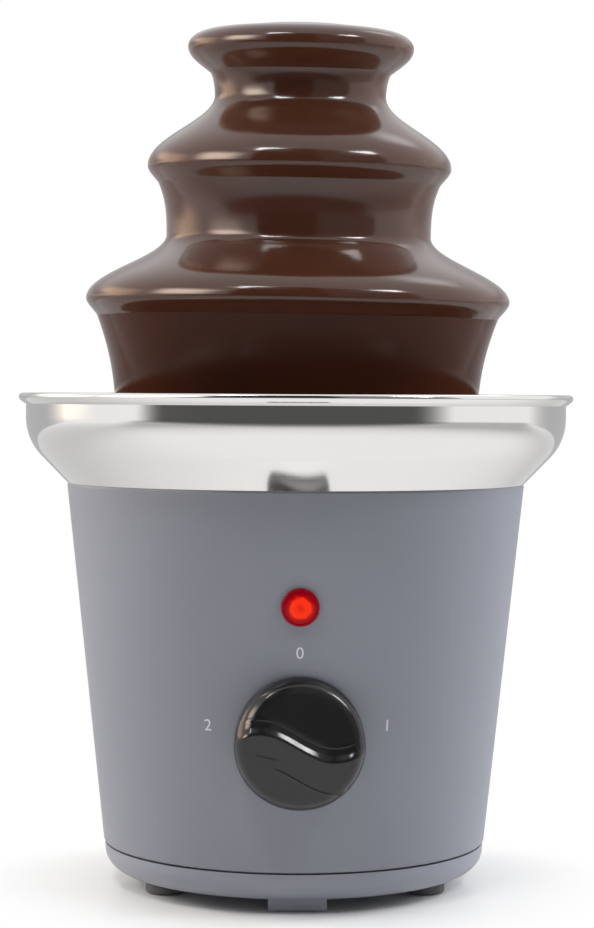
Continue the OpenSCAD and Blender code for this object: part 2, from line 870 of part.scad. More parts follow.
flight_len = auger_top - auger_z - lift_gap;
flight_angle = 360 * flight_t / pitch;
flight_turns = flight_len / pitch;
flight_steps = 3;
flight_points = 2 * (flight_steps + 1);
function flight_arc(r) =
    [for (i = [0:flight_steps]) let (a = flight_angle * i / flight_steps) r * [cos(a), sin(a)]];

module auger_flight() {
    color([0.93, 0.93, 0.92])
        translate([0, 0, auger_z + lift_gap])
            linear_extrude(flight_len, twist = -360 * flight_turns, slices = ceil(slices_per_turn * flight_turns),
                segments = flight_points)
                polygon(concat(flight_arc(flight_in_r), reverse(flight_arc(flight_r))));
}

// Tower: tube with inlet arches, two tiers and a crown dish
module tower_tube() {
    color([0.90, 0.90, 0.89])
        difference() {
            rotate_extrude()
                polygon([[tube_bore_r, tower_z], [tower_flange_r, tower_z], [tower_flange_r, tower_z + tower_flange_t],
                    [tube_r, tower_z + tower_flange_t + tube_wall], [tube_r, tube_top_z], [tube_bore_r, tube_top_z]]);
            for (a = arch_angles)
                rotate(a)
                    translate([0, 0, tower_z + tower_flange_t]) {
                        translate([0, -arch_w / 2, 0])
                            cube([tower_flange_r + cut, arch_w, arch_h]);
                        translate([0, 0, arch_h])
                            rotate([0, 90, 0])
                                cylinder(r = arch_w / 2, h = tower_flange_r + cut);
                    }
        }
}

module tier(edge_r, edge_z, slope) {
    hub_z = tier_z(hub_out_r, edge_r, edge_z, slope);
    rotate_extrude()
        polygon([[tube_r, hub_z], [hub_out_r, hub_z], [edge_r, edge_z], [edge_r, edge_z - tier_wall],
            [hub_out_r, hub_z - tier_wall / cos(slope)], [hub_out_r, hub_z - tier_hub_h], [tube_r, hub_z - tier_hub_h]]);
}

module middle_tier() {
    color([0.90, 0.90, 0.89])
        tier(middle_edge_r, middle_edge_z, middle_slope);
}

module lower_tier() {
    color([0.90, 0.90, 0.89])
        tier(lower_edge_r, lower_edge_z, lower_slope);
}

module crown() {
    color([0.90, 0.90, 0.89])
        rotate_extrude()
            polygon([[tube_r, crown_floor_z], [crown_edge_r, crown_edge_z], [crown_edge_r, crown_edge_z - crown_wall],
                [hub_out_r, crown_floor_z - crown_wall], [hub_out_r, crown_floor_z - crown_wall - crown_hub_h],
                [tube_r, crown_floor_z - crown_wall - crown_hub_h]]);
}

// Chocolate: from a neck over a tier to the lip, then back in under the lip to the next neck
function over_tier(neck, lip) = let (drop = neck[1] - lip[1])
    cubic(neck, neck - [0, neck_pull * drop], lip + [0, lip_pull * drop], lip);
function under_lip(lip, fold) = let (in = lip[0] - fold[0], drop = lip[1] - fold[1])
    cubic(lip, lip - [0, roll_pull * drop], fold + [roll_pull * in, fold_pull * drop], fold);
function fall(fold, neck) = let (in = fold[0] - neck[0], drop = fold[1] - neck[1])
    cubic(fold, fold - [draw_in * in, fall_pull * drop], neck + [0, hang_pull * drop], neck);

module sheet(neck, lip, fold, foot, edge_r, edge_z, slope) {
    inner = neck[0] - sheet_t;
    rotate_extrude()
        polygon(concat(over_tier(neck, lip), under_lip(lip, fold), fall(fold, foot),
            [for (p = reverse(fall(fold, foot))) p - [sheet_t, 0]],
            [[edge_r, edge_z - tier_wall], [edge_r, edge_z], [inner, tier_z(inner, edge_r, edge_z, slope)],
            [inner, neck[1]]]));
}

module middle_flow() {
    color([0.32, 0.18, 0.13])
        sheet([upper_neck_r, upper_neck_z], [middle_lip_r, middle_lip_z], middle_fold, [lower_neck_r, lower_neck_z],
            middle_edge_r, middle_edge_z, middle_slope);
}

module lower_flow() {
    color([0.32, 0.18, 0.13])
        sheet([lower_neck_r, lower_neck_z], [lower_lip_r, lower_lip_z], lower_fold, [curtain_r, pool_z + lift_gap],
            lower_edge_r, lower_edge_z, lower_slope);
}

module crown_flow() {
    lip = [crown_lip_r, crown_lip_z];
    neck = [upper_neck_r, upper_neck_z];
    inner = upper_neck_r - sheet_t;
    color([0.32, 0.18, 0.13])
        rotate_extrude()
            polygon(concat([[tube_bore_r, tube_top_z], [tube_bore_r, crown_top_z]],
                cubic([crown_flat_r, crown_top_z], [crown_flat_r + crown_flat_pull * crown_flat, crown_top_z],
                    lip + [0, crown_lip_pull * crown_rise], lip),
                cubic(lip, lip - [0, crown_under_pull * upper_neck_h], neck + [0, crown_neck_pull * upper_neck_h], neck),
                [[inner, upper_neck_z], [inner, crown_under_z(inner)], [crown_edge_r, crown_edge_z - crown_wall],
                [crown_edge_r, crown_edge_z], [tube_r, crown_floor_z], [tube_r, tube_top_z]]));
}

module well() {
    color([0.32, 0.18, 0.13])
        rotate_extrude()
            polygon(concat([[0, auger_top], [well_r, auger_top]],
                cubic([well_r, crown_top_z - well_edge], [well_r, crown_top_z], [well_r / 2, crown_top_z],
                    [0, crown_top_z])));
}

module pool() {
    color([0.36, 0.21, 0.15])
        rotate_extrude()
            polygon(concat([[pool_in_r, floor_z]], bowl_corner(bowl_sheet),
                [for (p = bowl_shoulder(bowl_sheet)) if (p[1] < pool_z) p],
                [[bowl_side_r(pool_z, bowl_sheet), pool_z], [pool_in_r, pool_z]]));
}

housing();
bottom_cover();
feet();
cover_screws();
bowl();
bowl_seal();
heater_plate();
heater_tube();
thermostat();
standoffs();
standoff_screws();
motor_bracket();
bracket_screws();
gearbox();
gearbox_screws();
motor();
rotary_switch();
switch_nut();
lamp_lens();
lamp_holder();
lamp_clip();
cord_gland();
gland_nut();
terminal_block();
knob();
switch_spindle();
drive_shaft();
shaft_collar();
auger_core();
auger_flight();
tower_tube();
crown();
middle_tier();
lower_tier();
crown_flow();
middle_flow();
lower_flow();
well();
pool();
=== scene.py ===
"""Chocolate fountain: pieces, finishes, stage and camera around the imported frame. Lengths are metres."""
import math

import bmesh
import bpy
import numpy as np
from mathutils import Matrix, Vector


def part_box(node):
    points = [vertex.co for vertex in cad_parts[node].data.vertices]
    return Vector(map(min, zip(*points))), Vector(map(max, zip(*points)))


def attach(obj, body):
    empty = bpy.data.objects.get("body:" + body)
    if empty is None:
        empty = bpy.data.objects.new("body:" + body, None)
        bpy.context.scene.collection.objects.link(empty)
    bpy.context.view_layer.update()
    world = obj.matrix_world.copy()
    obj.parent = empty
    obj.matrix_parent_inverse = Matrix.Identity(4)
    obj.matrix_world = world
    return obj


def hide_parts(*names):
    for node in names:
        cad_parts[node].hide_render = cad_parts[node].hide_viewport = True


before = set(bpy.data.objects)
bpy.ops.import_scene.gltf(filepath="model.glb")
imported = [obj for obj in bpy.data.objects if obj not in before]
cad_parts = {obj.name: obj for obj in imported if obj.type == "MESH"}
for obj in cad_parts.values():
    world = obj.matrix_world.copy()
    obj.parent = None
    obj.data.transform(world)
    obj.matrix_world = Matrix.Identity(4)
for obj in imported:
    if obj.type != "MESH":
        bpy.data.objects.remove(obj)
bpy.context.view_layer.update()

# Units
MM = 0.001
TURN = 2 * math.pi
SAME_POINT = 1e-7


def reach(node):
    """Largest radius of a node about the upright axis, read from its box."""
    low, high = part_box(node)
    return max(-low.x, high.x)


def bottom_of(node):
    """Lowest level of a node."""
    low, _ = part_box(node)
    return low.z


def top_of(node):
    """Highest level of a node."""
    _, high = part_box(node)
    return high.z


# Bowl
RIM_R = reach("bowl")
RIM_TOP = top_of("bowl")
BEAD_R = 1.8 * MM
SHEET = 1.0 * MM
WALL_R = RIM_R - 2 * BEAD_R + SHEET
WALL_DROP = 8.6 * MM
SHOULDER_R = 20 * MM
SLOPE = math.radians(44)
CORNER_R = 12 * MM
FLOOR_UNDER = bottom_of("bowl")
FLOOR_Z = FLOOR_UNDER + SHEET
DRAIN_R = 8 * MM

# Rolled rim, in radii of its bead: the drop to its root and nose, and the reach of its curves' handles
ROOT_DROP = 2.2
NOSE_DROP = 0.8
ROOT_OUT = 0.5
ROOT_UP = 0.25
NOSE_DOWN = 0.5
NOSE_UP = 0.45
CREST_OUT = 0.6

# Housing and cover
HOUSING_TOP_R = reach("housing")
HOUSING_WALL = 2.5 * MM
HOUSING_EDGE = 0.7 * MM
SEAT_W = 7 * MM
SEAT_T = 2.5 * MM
COVER_R = reach("bottom_cover")
HOUSING_PROUD = 0.4 * MM
HOUSING_LOW_R = COVER_R + HOUSING_PROUD
FOOT_H = 4.5 * MM
COVER_H = 9.8 * MM
SEAM = 0.6 * MM
HOUSING_Z = FOOT_H + COVER_H + SEAM
HOUSING_TOP_Z = top_of("housing")
TAPER = math.atan((HOUSING_TOP_R - HOUSING_LOW_R) / (HOUSING_TOP_Z - HOUSING_Z))

# Necks and lips of the flow over the tower
TUBE_BORE_R = 15.6 * MM
TUBE_R = 17.6 * MM
SHEET_T = 2.0 * MM
CROWN_DROP = 0.1 * MM
CROWN_TOP = top_of("crown_flow") - CROWN_DROP
CROWN_LIP_R = reach("crown_flow")
CROWN_LIP_Z = top_of("crown_flow") - 6.4 * MM
UPPER_NECK = (30.6 * MM, bottom_of("crown_flow"))
LOWER_NECK = (47.6 * MM, bottom_of("middle_flow"))
MIDDLE_LIP = (reach("middle_flow"), UPPER_NECK[1] - 26.0 * MM)
LOWER_LIP = (reach("lower_flow"), LOWER_NECK[1] - 23.4 * MM)
CURTAIN_FOOT = (65.0 * MM, bottom_of("lower_flow"))

# Crown: its mouth, the reach of its curves' handles, and the plastic dish that it covers
MOUTH_EDGE = 1.2 * MM
MOUTH_DEPTH = 10 * MM
CROWN_FLAT_R = 26.5 * MM
CROWN_ROLL = 10.4 * MM
LIP_ABOVE = 2.95 * MM
LIP_BELOW = 3.6 * MM
CROWN_FOLD = (32.6 * MM, UPPER_NECK[1] + 8.5 * MM)
FOLD_WAY = np.array([4.0, 3.2]) * MM
FOLD_SHARE = 0.3
NECK_ABOVE = 3.0 * MM
DISH_IN = 2.3 * MM
DISH_DOWN = 2.0 * MM
DISH_WALL = 1.8 * MM
DISH_DEPTH = 13 * MM

# Tiers: the reach of the curves' handles as shares of each stretch, then the fold under a lip and how far the
# chocolate covers the plastic
NECK_PULL = 0.36
LIP_PULL = 0.415
ROLL_PULL = 0.3
FOLD_PULL = 0.3
DRAW_IN = 0.7
FALL_PULL = 0.28
HANG_PULL = 0.52
FOLD_IN = 4.0 * MM
FOLD_DROP = 6.0 * MM
LIP_COVER = 2.1 * MM
LIP_RISE = 0.9 * MM
NECK_COVER = 6.4 * MM
TIER_WALL = 2.2 * MM

# Sway of the flow: waves (share of the height, number in a turn, start), lean to the right, and droop of the
# three lips at the front, from the lowest up
SWAY = 0.17 * MM
WAVES = ((1.0, 3, 1.0), (0.6, 5, 0.4), (0.4, 8, 2.2))
LEAN_RIGHT = 0.0105
LEAN_FADE = 12 * MM
LEFT_SHARE = 0.5
DROOP = (0.02, 0.045, 0.065)

# Well in the mouth of the tube
WELL_GAP = 0.4 * MM
WELL_DOME = 2.0 * MM
WELL_ROLL = 0.4 * MM
WELL_FLAT = 0.6

# Pool
POOL_Z = top_of("pool")
POOL_IN_R = 22.6 * MM
POOL_EDGE = 4 * MM
RIPPLE_START = 0.35 * MM
RIPPLE_H = 0.35 * MM
RIPPLE_LENGTH = 5.5 * MM
RIPPLE_REACH = 9 * MM
RIPPLE_SWING = 0.6
SWINGS = 4
SWELL_H = 0.9 * MM
SWELL_REACH = 1.8 * MM

# Knob: its body, then the S-shaped crest with the flank above it, falls as slopes
KNOB_Z = 60.5 * MM
KNOB_R = 21.8 * MM
KNOB_GAP = 1.0 * MM
KNOB_FACE = 9.4 * MM
KNOB_EDGE = 4.2 * MM
SKIRT_WALL = 3 * MM
FACE_WALL = 4 * MM
HUB_R = 5.5 * MM
HUB_GAP = 3.3 * MM
BORE_R = 3.05 * MM
BORE_ROOF = 1 * MM
CREST_H = 5.5 * MM
CREST_WAVE = 4.7 * MM
CREST_SHIFT = 0.9 * MM
CREST_START = 1 * MM
CREST_LENGTH = 50.0 * MM
CREST_ROUND = 0.7 * MM
FLANK_W = 4.4 * MM
FLANK_FOOT = 2.3 * MM
FLANK_FALL = 0.56
BROW_FALL = 0.92
FOOT_ROUND = 0.5 * MM
UPPER_FALL = 0.34
LOWER_FALL = 0.08
RIM_FROM = 17 * MM
RIM_LOWERED = 0.35

# Fine ridges of the knob, as distance from the crest, height and width, and where the lower one begins
FOOT_LINE = (4.4 * MM, 0.15 * MM, 0.4 * MM)
LOWER_LINE = (-11.0 * MM, 0.30 * MM, 0.42 * MM)
LOWER_FROM = -12 * MM
LOWER_GROWS = 6 * MM

# Pointer on the knob: its tip, length and fall, half widths, height and soft ends
POINTER_TIP = (-14.9 * MM, -1.3 * MM)
POINTER_L = 7.5 * MM
POINTER_FALL = 2.5 * MM
POINTER_NARROW = 0.25 * MM
POINTER_WIDENS = 0.75 * MM
POINTER_H = 0.5 * MM
POINTER_EDGE = 0.3 * MM
TIP_STEEP = 8
TAIL_STEEP = 16

# Lamp: its lens on a stem, with points and handles of its curves as shares of its radius and height
LAMP_Z = 105.4 * MM
LAMP_R = 6.4 * MM
LAMP_DOME = 2.6 * MM
LAMP_STEM_R = 4.0 * MM
LAMP_STEM_L = 8 * MM
LAMP_SEAT = 0.1 * MM
FLANGE_CURVE = ((1, 0.35), (1, 0.62), (0.96, 0.7), (0.88, 0.7))
DOME_CURVE = ((0.86, 0.62), (0.6, 1), (0.3, 1), (0, 1))

# Numbers round the knob: their height, its share of the type size, their ink, and each one's level and angle
# from the front in degrees
NUMBER_H = 3.9 * MM
NUMBER_SHARE = 0.7
INK_T = 0.02 * MM
INK_LIFT = 0.04 * MM
NUMBER_PLACES = {"0": (89.8 * MM, 0), "1": (64.6 * MM, 23.5), "2": (64.6 * MM, -24.3)}

# Fineness of the meshes: columns round the axis, and rows
SHELL_COLUMNS = 256
FLOW_COLUMNS = 300
POOL_COLUMNS = 320
POOL_ROWS = 180
KNOB_COLUMNS = 360
KNOB_ROWS = 150
SIDE_ROWS = 8
SMALL_COLUMNS = 128
FLOOR_COLUMNS = 96
FLOOR_ROWS = 40


def wall_radius(z):
    """Outer radius of the housing's cone at a level."""
    return HOUSING_LOW_R + (z - HOUSING_Z) * math.tan(TAPER)


# Curves in the half-plane of radius and height
def arc(centre, radius, start, end, count=24):
    """Points of a circle about centre between two angles in degrees."""
    a = np.radians(np.linspace(start, end, count))
    return np.stack([centre[0] + radius * np.cos(a), centre[1] + radius * np.sin(a)], axis=1)


def cubic(a, b, c, d, count):
    """Points of the cubic curve with ends a and d and handles b and c."""
    t = np.linspace(0, 1, count)[:, None]
    a, b, c, d = (np.asarray(p, float) for p in (a, b, c, d))
    return a * (1 - t) ** 3 + 3 * b * t * (1 - t) ** 2 + 3 * c * t ** 2 * (1 - t) + d * t ** 3


def line(a, b, count):
    """Points of a straight stretch."""
    t = np.linspace(0, 1, count)[:, None]
    return np.asarray(a, float) * (1 - t) + np.asarray(b, float) * t


def joined(*curves):
    """One outline from curves laid end to end, with repeated points left out."""
    points = np.concatenate([np.atleast_2d(c) for c in curves])
    step = np.linalg.norm(np.diff(points, axis=0), axis=1)
    return points[np.concatenate([[True], step > SAME_POINT])]


def smooth(t):
    """Smooth step from 0 to 1."""
    t = np.clip(t, 0, 1)
    return t * t * (3 - 2 * t)


# Meshes
def grid_faces(rows, columns, wrap_rows):
    """Corner indices of a grid's quads. Its columns close on themselves, and its rows do where they wrap."""
    i = np.arange(rows if wrap_rows else rows - 1)[:, None]
    j = np.arange(columns)[None, :]
    up = (i + 1) % rows
    side = (j + 1) % columns
    corners = [i * columns + j, i * columns + side, up * columns + side, up * columns + j]
    return np.stack(np.broadcast_arrays(*corners), axis=-1).reshape(-1, 4)


def add_mesh(name, points, faces, sharp=40):
    """Smooth object from points and faces, with doubles merged so that poles are closed."""
    mesh = bpy.data.meshes.new(name)
    mesh.from_pydata(points.reshape(-1, 3).tolist(), [], faces.tolist())
    work = bmesh.new()
    work.from_mesh(mesh)
    bmesh.ops.remove_doubles(work, verts=work.verts, dist=SAME_POINT)
    work.to_mesh(mesh)
    work.free()
    mesh.polygons.foreach_set("use_smooth", [True] * len(mesh.polygons))
    mesh.set_sharp_from_angle(angle=math.radians(sharp))
    piece = bpy.data.objects.new(name, mesh)
    bpy.context.scene.collection.objects.link(piece)
    return piece


def add_grid(name, points, closed=True, sharp=40):
    """Smooth object from a grid of points round an axis; where it is closed, the last row meets the first."""
    return add_mesh(name, points, grid_faces(points.shape[0], points.shape[1], closed), sharp)


def turned(outline, columns):
    """Grid of an outline turned about the upright axis: rows follow the outline, columns the angle. An
    outline that runs anticlockwise in the half-plane gives faces that point outwards."""
    angle = np.linspace(0, TURN, columns, endpoint=False)[None, :]
    radius = outline[:, 0:1]
    height = np.broadcast_to(outline[:, 1:2], (len(outline), columns))
    return np.stack([radius * np.cos(angle), radius * np.sin(angle), height], axis=-1), angle


def lathe(name, outline, columns, closed=True, sharp=40):
    """Piece turned about the upright axis from an outline."""
    points, _ = turned(outline, columns)
    return add_grid(name, points, closed, sharp)


def vertex_places(mesh):
    """Places of a mesh's vertices, one row each."""
    place = np.empty(len(mesh.vertices) * 3)
    mesh.vertices.foreach_get("co", place)
    return place.reshape(-1, 3)


def finish_piece(piece, body, slot, material, *nodes):
    """Give a piece its material and its body, and hide the nodes that it stands for. The slot argument is not
    used.
    """
    piece.data.materials.append(material)
    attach(piece, body)
    if nodes:
        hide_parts(*nodes)
    return piece


# Node trees
VALUE = "NodeSocketFloat"
COLOR = "NodeSocketColor"


def socket(sockets, identifier):
    """The socket with that identifier, for nodes that have several sockets of one name."""
    return next(s for s in sockets if s.identifier == identifier)


def math_node(tree, operation, *values):
    """Result of a Math node in a tree; each value is a socket or a number."""
    node = tree.nodes.new("ShaderNodeMath")
    node.operation = operation
    for entry, value in zip(node.inputs, values):
        if isinstance(value, (int, float)):
            entry.default_value = value
        else:
            tree.links.new(value, entry)
    return node.outputs["Value"]


def length_node(tree, vector):
    """Length of a vector in a node tree."""
    node = tree.nodes.new("ShaderNodeVectorMath")
    node.operation = "LENGTH"
    tree.links.new(vector, node.inputs[0])
    return node.outputs["Value"]


def object_place(tree):
    """Object coordinates in a node tree."""
    return tree.nodes.new("ShaderNodeTexCoord").outputs["Object"]


def step_down(tree, value, start, end):
    """Soft step of a value in a node tree: one below start and zero above end."""
    node = tree.nodes.new("ShaderNodeMapRange")
    node.interpolation_type = "SMOOTHSTEP"
    node.inputs["From Min"].default_value = start
    node.inputs["From Max"].default_value = end
    node.inputs["To Min"].default_value = 1.0
    node.inputs["To Max"].default_value = 0.0
    tree.links.new(value, node.inputs["Value"])
    return node.outputs["Result"]


def mirrored_rays(tree, path):
    """One for the rays that a glossy or clear surface sends, by the light path's outputs, else zero."""
    return math_node(tree, "MAXIMUM", path["Is Glossy Ray"], path["Is Transmission Ray"])


def mix_shaders(tree, share, first, second, output):
    """Blend two shaders by a share, 0 for the first and 1 for the second, into a tree's output node."""
    mix = tree.nodes.new("ShaderNodeMixShader")
    tree.links.new(share, mix.inputs["Fac"])
    tree.links.new(first, mix.inputs[1])
    tree.links.new(second, mix.inputs[2])
    tree.links.new(mix.outputs["Shader"], tree.nodes[output].inputs["Surface"])


def new_group(name, inputs, outputs):
    """Empty shader group with inputs and outputs given as name and socket kind, and its two end nodes."""
    group = bpy.data.node_groups.new(name, "ShaderNodeTree")
    for label, kind in inputs.items():
        group.interface.new_socket(label, in_out="INPUT", socket_type=kind)
    for label, kind in outputs.items():
        group.interface.new_socket(label, in_out="OUTPUT", socket_type=kind)
    return group, group.nodes.new("NodeGroupInput"), group.nodes.new("NodeGroupOutput")


# Effects that several finishes share
NOISE_SPAN = (0.3, 0.7)


def texture_group(name, detail, place_in):
    """Noise over the place that place_in gives, put out as a height and as a roughness between two values."""
    group, given, result = new_group(name, {"Scale": VALUE, "Smooth": VALUE, "Rough": VALUE},
                                     {"Roughness": VALUE, "Height": VALUE})
    noise = group.nodes.new("ShaderNodeTexNoise")
    noise.inputs["Detail"].default_value = detail
    spread = group.nodes.new("ShaderNodeMapRange")
    spread.inputs["From Min"].default_value = NOISE_SPAN[0]
    spread.inputs["From Max"].default_value = NOISE_SPAN[1]
    links = group.links
    links.new(place_in(group), noise.inputs["Vector"])
    links.new(given.outputs["Scale"], noise.inputs["Scale"])
    links.new(noise.outputs["Fac"], spread.inputs["Value"])
    links.new(given.outputs["Smooth"], spread.inputs["To Min"])
    links.new(given.outputs["Rough"], spread.inputs["To Max"])
    links.new(spread.outputs["Result"], result.inputs["Roughness"])
    links.new(noise.outputs["Fac"], result.inputs["Height"])
    return group


def ring_place(group):
    """Radius and height alone, so that a noise over them runs in rings round the axis, as on spun metal."""
    split = group.nodes.new("ShaderNodeSeparateXYZ")
    flat = group.nodes.new("ShaderNodeCombineXYZ")
    ring = group.nodes.new("ShaderNodeCombineXYZ")
    links = group.links
    links.new(object_place(group), split.inputs["Vector"])
    links.new(split.outputs["X"], flat.inputs["X"])
    links.new(split.outputs["Y"], flat.inputs["Y"])
    links.new(length_node(group, flat.outputs["Vector"]), ring.inputs["X"])
    links.new(split.outputs["Z"], ring.inputs["Y"])
    return ring.outputs["Vector"]


def tone_group():
    """Slow drift of tone: a large soft noise blends two colours a little either side of the finish."""
    group, given, result = new_group("tone_drift", {"Scale": VALUE, "Dark": COLOR, "Light": COLOR},
                                     {"Color": COLOR})
    noise = group.nodes.new("ShaderNodeTexNoise")
    noise.inputs["Detail"].default_value = 2.0
    mix = group.nodes.new("ShaderNodeMix")
    mix.data_type = "RGBA"
    links = group.links
    links.new(object_place(group), noise.inputs["Vector"])
    links.new(given.outputs["Scale"], noise.inputs["Scale"])
    links.new(noise.outputs["Fac"], socket(mix.inputs, "Factor_Float"))
    links.new(given.outputs["Dark"], socket(mix.inputs, "A_Color"))
    links.new(given.outputs["Light"], socket(mix.inputs, "B_Color"))
    links.new(socket(mix.outputs, "Result_Color"), result.inputs["Color"])
    return group


GRAIN = texture_group("moulded_grain", 3.0, object_place)
RINGS = texture_group("spun_rings", 4.0, ring_place)
TONE = tone_group()


# Finishes
def shade(color, factor):
    """A colour times a factor, as RGBA."""
    return tuple(min(1.0, c * factor) for c in color) + (1.0,)


def start_material(name):
    """New material with its node tree and its main shader."""
    material = bpy.data.materials.new(name)
    material.use_nodes = True
    return material, material.node_tree, material.node_tree.nodes["Principled BSDF"]


def new_material(name, color, drift, rough, drift_scale=20.0, texture=GRAIN, texture_scale=900.0,
                 bump=0.02, bump_mm=0.05, **plain):
    """Principled finish: drifting colour, textured roughness, and a shallow bump from the same texture."""
    material, tree, surface = start_material(name)
    tone = tree.nodes.new("ShaderNodeGroup")
    tone.node_tree = TONE
    tone.inputs["Scale"].default_value = drift_scale
    tone.inputs["Dark"].default_value = shade(color, 1 - drift)
    tone.inputs["Light"].default_value = shade(color, 1 + drift)
    tree.links.new(tone.outputs["Color"], surface.inputs["Base Color"])
    fine = tree.nodes.new("ShaderNodeGroup")
    fine.node_tree = texture
    fine.inputs["Scale"].default_value = texture_scale
    fine.inputs["Smooth"].default_value = rough[0]
    fine.inputs["Rough"].default_value = rough[1]
    tree.links.new(fine.outputs["Roughness"], surface.inputs["Roughness"])
    relief = tree.nodes.new("ShaderNodeBump")
    relief.inputs["Strength"].default_value = bump
    relief.inputs["Distance"].default_value = bump_mm * MM
    tree.links.new(fine.outputs["Height"], relief.inputs["Height"])
    tree.links.new(relief.outputs["Normal"], surface.inputs["Normal"])
    for label, value in plain.items():
        surface.inputs[label].default_value = value
    return material


CHOCOLATE = new_material("chocolate", (0.062, 0.021, 0.011), drift=0.10, drift_scale=35.0, texture_scale=60.0,
                         rough=(0.10, 0.16), bump=0.03, bump_mm=0.3, IOR=1.57)
# The falling sheet is the same chocolate painted darker: painted shade under the lower lip. Its lower IOR
# also dims its reflections.
SHADED_FALLING_CHOCOLATE = new_material("falling_chocolate_painted_shade", (0.056, 0.018, 0.010), drift=0.12, drift_scale=30.0,
                                 texture_scale=50.0, rough=(0.09, 0.13), bump=0.03, bump_mm=0.3, IOR=1.2)
BOWL_STEEL = new_material("bowl_steel", (0.80, 0.79, 0.775), drift=0.02, texture=RINGS,
                          rough=(0.07, 0.10), bump=0.006, bump_mm=0.02, Metallic=1.0)
HOUSING_PLASTIC = new_material("housing_plastic", (0.200, 0.211, 0.250), drift=0.02, texture_scale=1400.0,
                               rough=(0.36, 0.46), bump=0.04, bump_mm=0.02)
# The cover's plastic is the housing's plastic painted lighter: painted light that offsets the shade low on
# the base.
COVER_PLASTIC_PAINTED_LIGHTER = new_material("cover_plastic_painted_lighter", (0.228, 0.240, 0.283), drift=0.02, texture_scale=1400.0,
                             rough=(0.36, 0.46), bump=0.04, bump_mm=0.02)
KNOB_GLOSS = new_material("knob_gloss", (0.012, 0.012, 0.013), drift=0.15, texture_scale=120.0,
                          rough=(0.09, 0.15))
FOOT_RUBBER = new_material("foot_rubber", (0.095, 0.095, 0.106), drift=0.10, rough=(0.55, 0.75), bump=0.1)
WHITE_PLASTIC = new_material("white_plastic", (0.78, 0.77, 0.74), drift=0.02, texture_scale=700.0,
                             rough=(0.22, 0.34))
BLACK_PLASTIC = new_material("black_plastic", (0.016, 0.016, 0.017), drift=0.10, rough=(0.35, 0.5), bump=0.05)
ZINC_STEEL = new_material("zinc_steel", (0.60, 0.60, 0.58), drift=0.05, drift_scale=120.0,
                          texture_scale=500.0, rough=(0.25, 0.42), bump=0.03, Metallic=1.0)
SHAFT_STEEL = new_material("shaft_steel", (0.62, 0.62, 0.62), drift=0.03, texture=RINGS, texture_scale=1500.0,
                           rough=(0.16, 0.28), bump=0.03, Metallic=1.0)
ALUMINIUM = new_material("plate_aluminium", (0.68, 0.68, 0.69), drift=0.04, texture=RINGS,
                         texture_scale=600.0, rough=(0.30, 0.45), bump=0.05, Metallic=1.0)
MOTOR_STEEL = new_material("motor_steel", (0.07, 0.07, 0.075), drift=0.08, rough=(0.35, 0.5), bump=0.06)
CERAMIC = new_material("white_ceramic", (0.72, 0.69, 0.62), drift=0.05, rough=(0.5, 0.7), bump=0.08)
SEAL_RUBBER = new_material("seal_rubber", (0.025, 0.025, 0.025), drift=0.1, rough=(0.5, 0.7), bump=0.1)
NUMBER_INK = new_material("number_ink", (0.62, 0.63, 0.66), drift=0.03, rough=(0.45, 0.6))

# Glow of the lamp from the middle of its lens outwards
GLOW_STOPS = ((0.06, (0.55, 0.006, 0.001)), (0.30, (0.74, 0.020, 0.002)), (0.56, (0.78, 0.028, 0.003)),
              (0.68, (0.40, 0.003, 0.003)), (0.80, (0.24, 0.0, 0.005)), (0.97, (0.18, 0.0, 0.005)))
FACET_SCALE = 620.0
FACET_WOBBLE = 0.12


def lens_material():
    """Lit red lens: the distance from its axis, stirred by a pattern of facets, runs from a glowing orange
    middle to a darker red ring."""
    material, tree, surface = start_material("lens_red")
    ring = tree.nodes.new("ShaderNodeAttribute")
    ring.attribute_name = "ring"
    facets = tree.nodes.new("ShaderNodeTexVoronoi")
    facets.inputs["Scale"].default_value = FACET_SCALE
    tree.links.new(object_place(tree), facets.inputs["Vector"])
    glow = tree.nodes.new("ShaderNodeValToRGB")
    stops = glow.color_ramp.elements
    for index, (at, color) in enumerate(GLOW_STOPS):
        stop = stops[index] if index < len(stops) else stops.new(at)
        stop.position = at
        stop.color = color + (1.0,)
    wobbled = math_node(tree, "MULTIPLY_ADD", facets.outputs["Distance"], FACET_WOBBLE, ring.outputs["Fac"])
    tree.links.new(wobbled, glow.inputs["Fac"])
    tree.links.new(glow.outputs["Color"], surface.inputs["Emission Color"])
    tree.links.new(glow.outputs["Color"], surface.inputs["Base Color"])
    surface.inputs["Emission Strength"].default_value = 0.36
    surface.inputs["Roughness"].default_value = 0.08
    surface.inputs["IOR"].default_value = 1.22
    return material


LENS_RED = lens_material()


# Bowl and housing
def bowl_side(inset):
    """Side of the bowl from the floor to the rim, a distance inside its outer face: two arcs and the slope
    between them."""
    shoulder = (WALL_R - SHOULDER_R, RIM_TOP - WALL_DROP)
    corner_z = FLOOR_UNDER + CORNER_R
    run = SHOULDER_R - CORNER_R + (corner_z - shoulder[1]) * math.sin(SLOPE)
    corner = (shoulder[0] + run / math.cos(SLOPE), corner_z)
    angle = math.degrees(SLOPE)
    return joined(arc(corner, CORNER_R - inset, -90, -angle), arc(shoulder, SHOULDER_R - inset, -angle, 0))


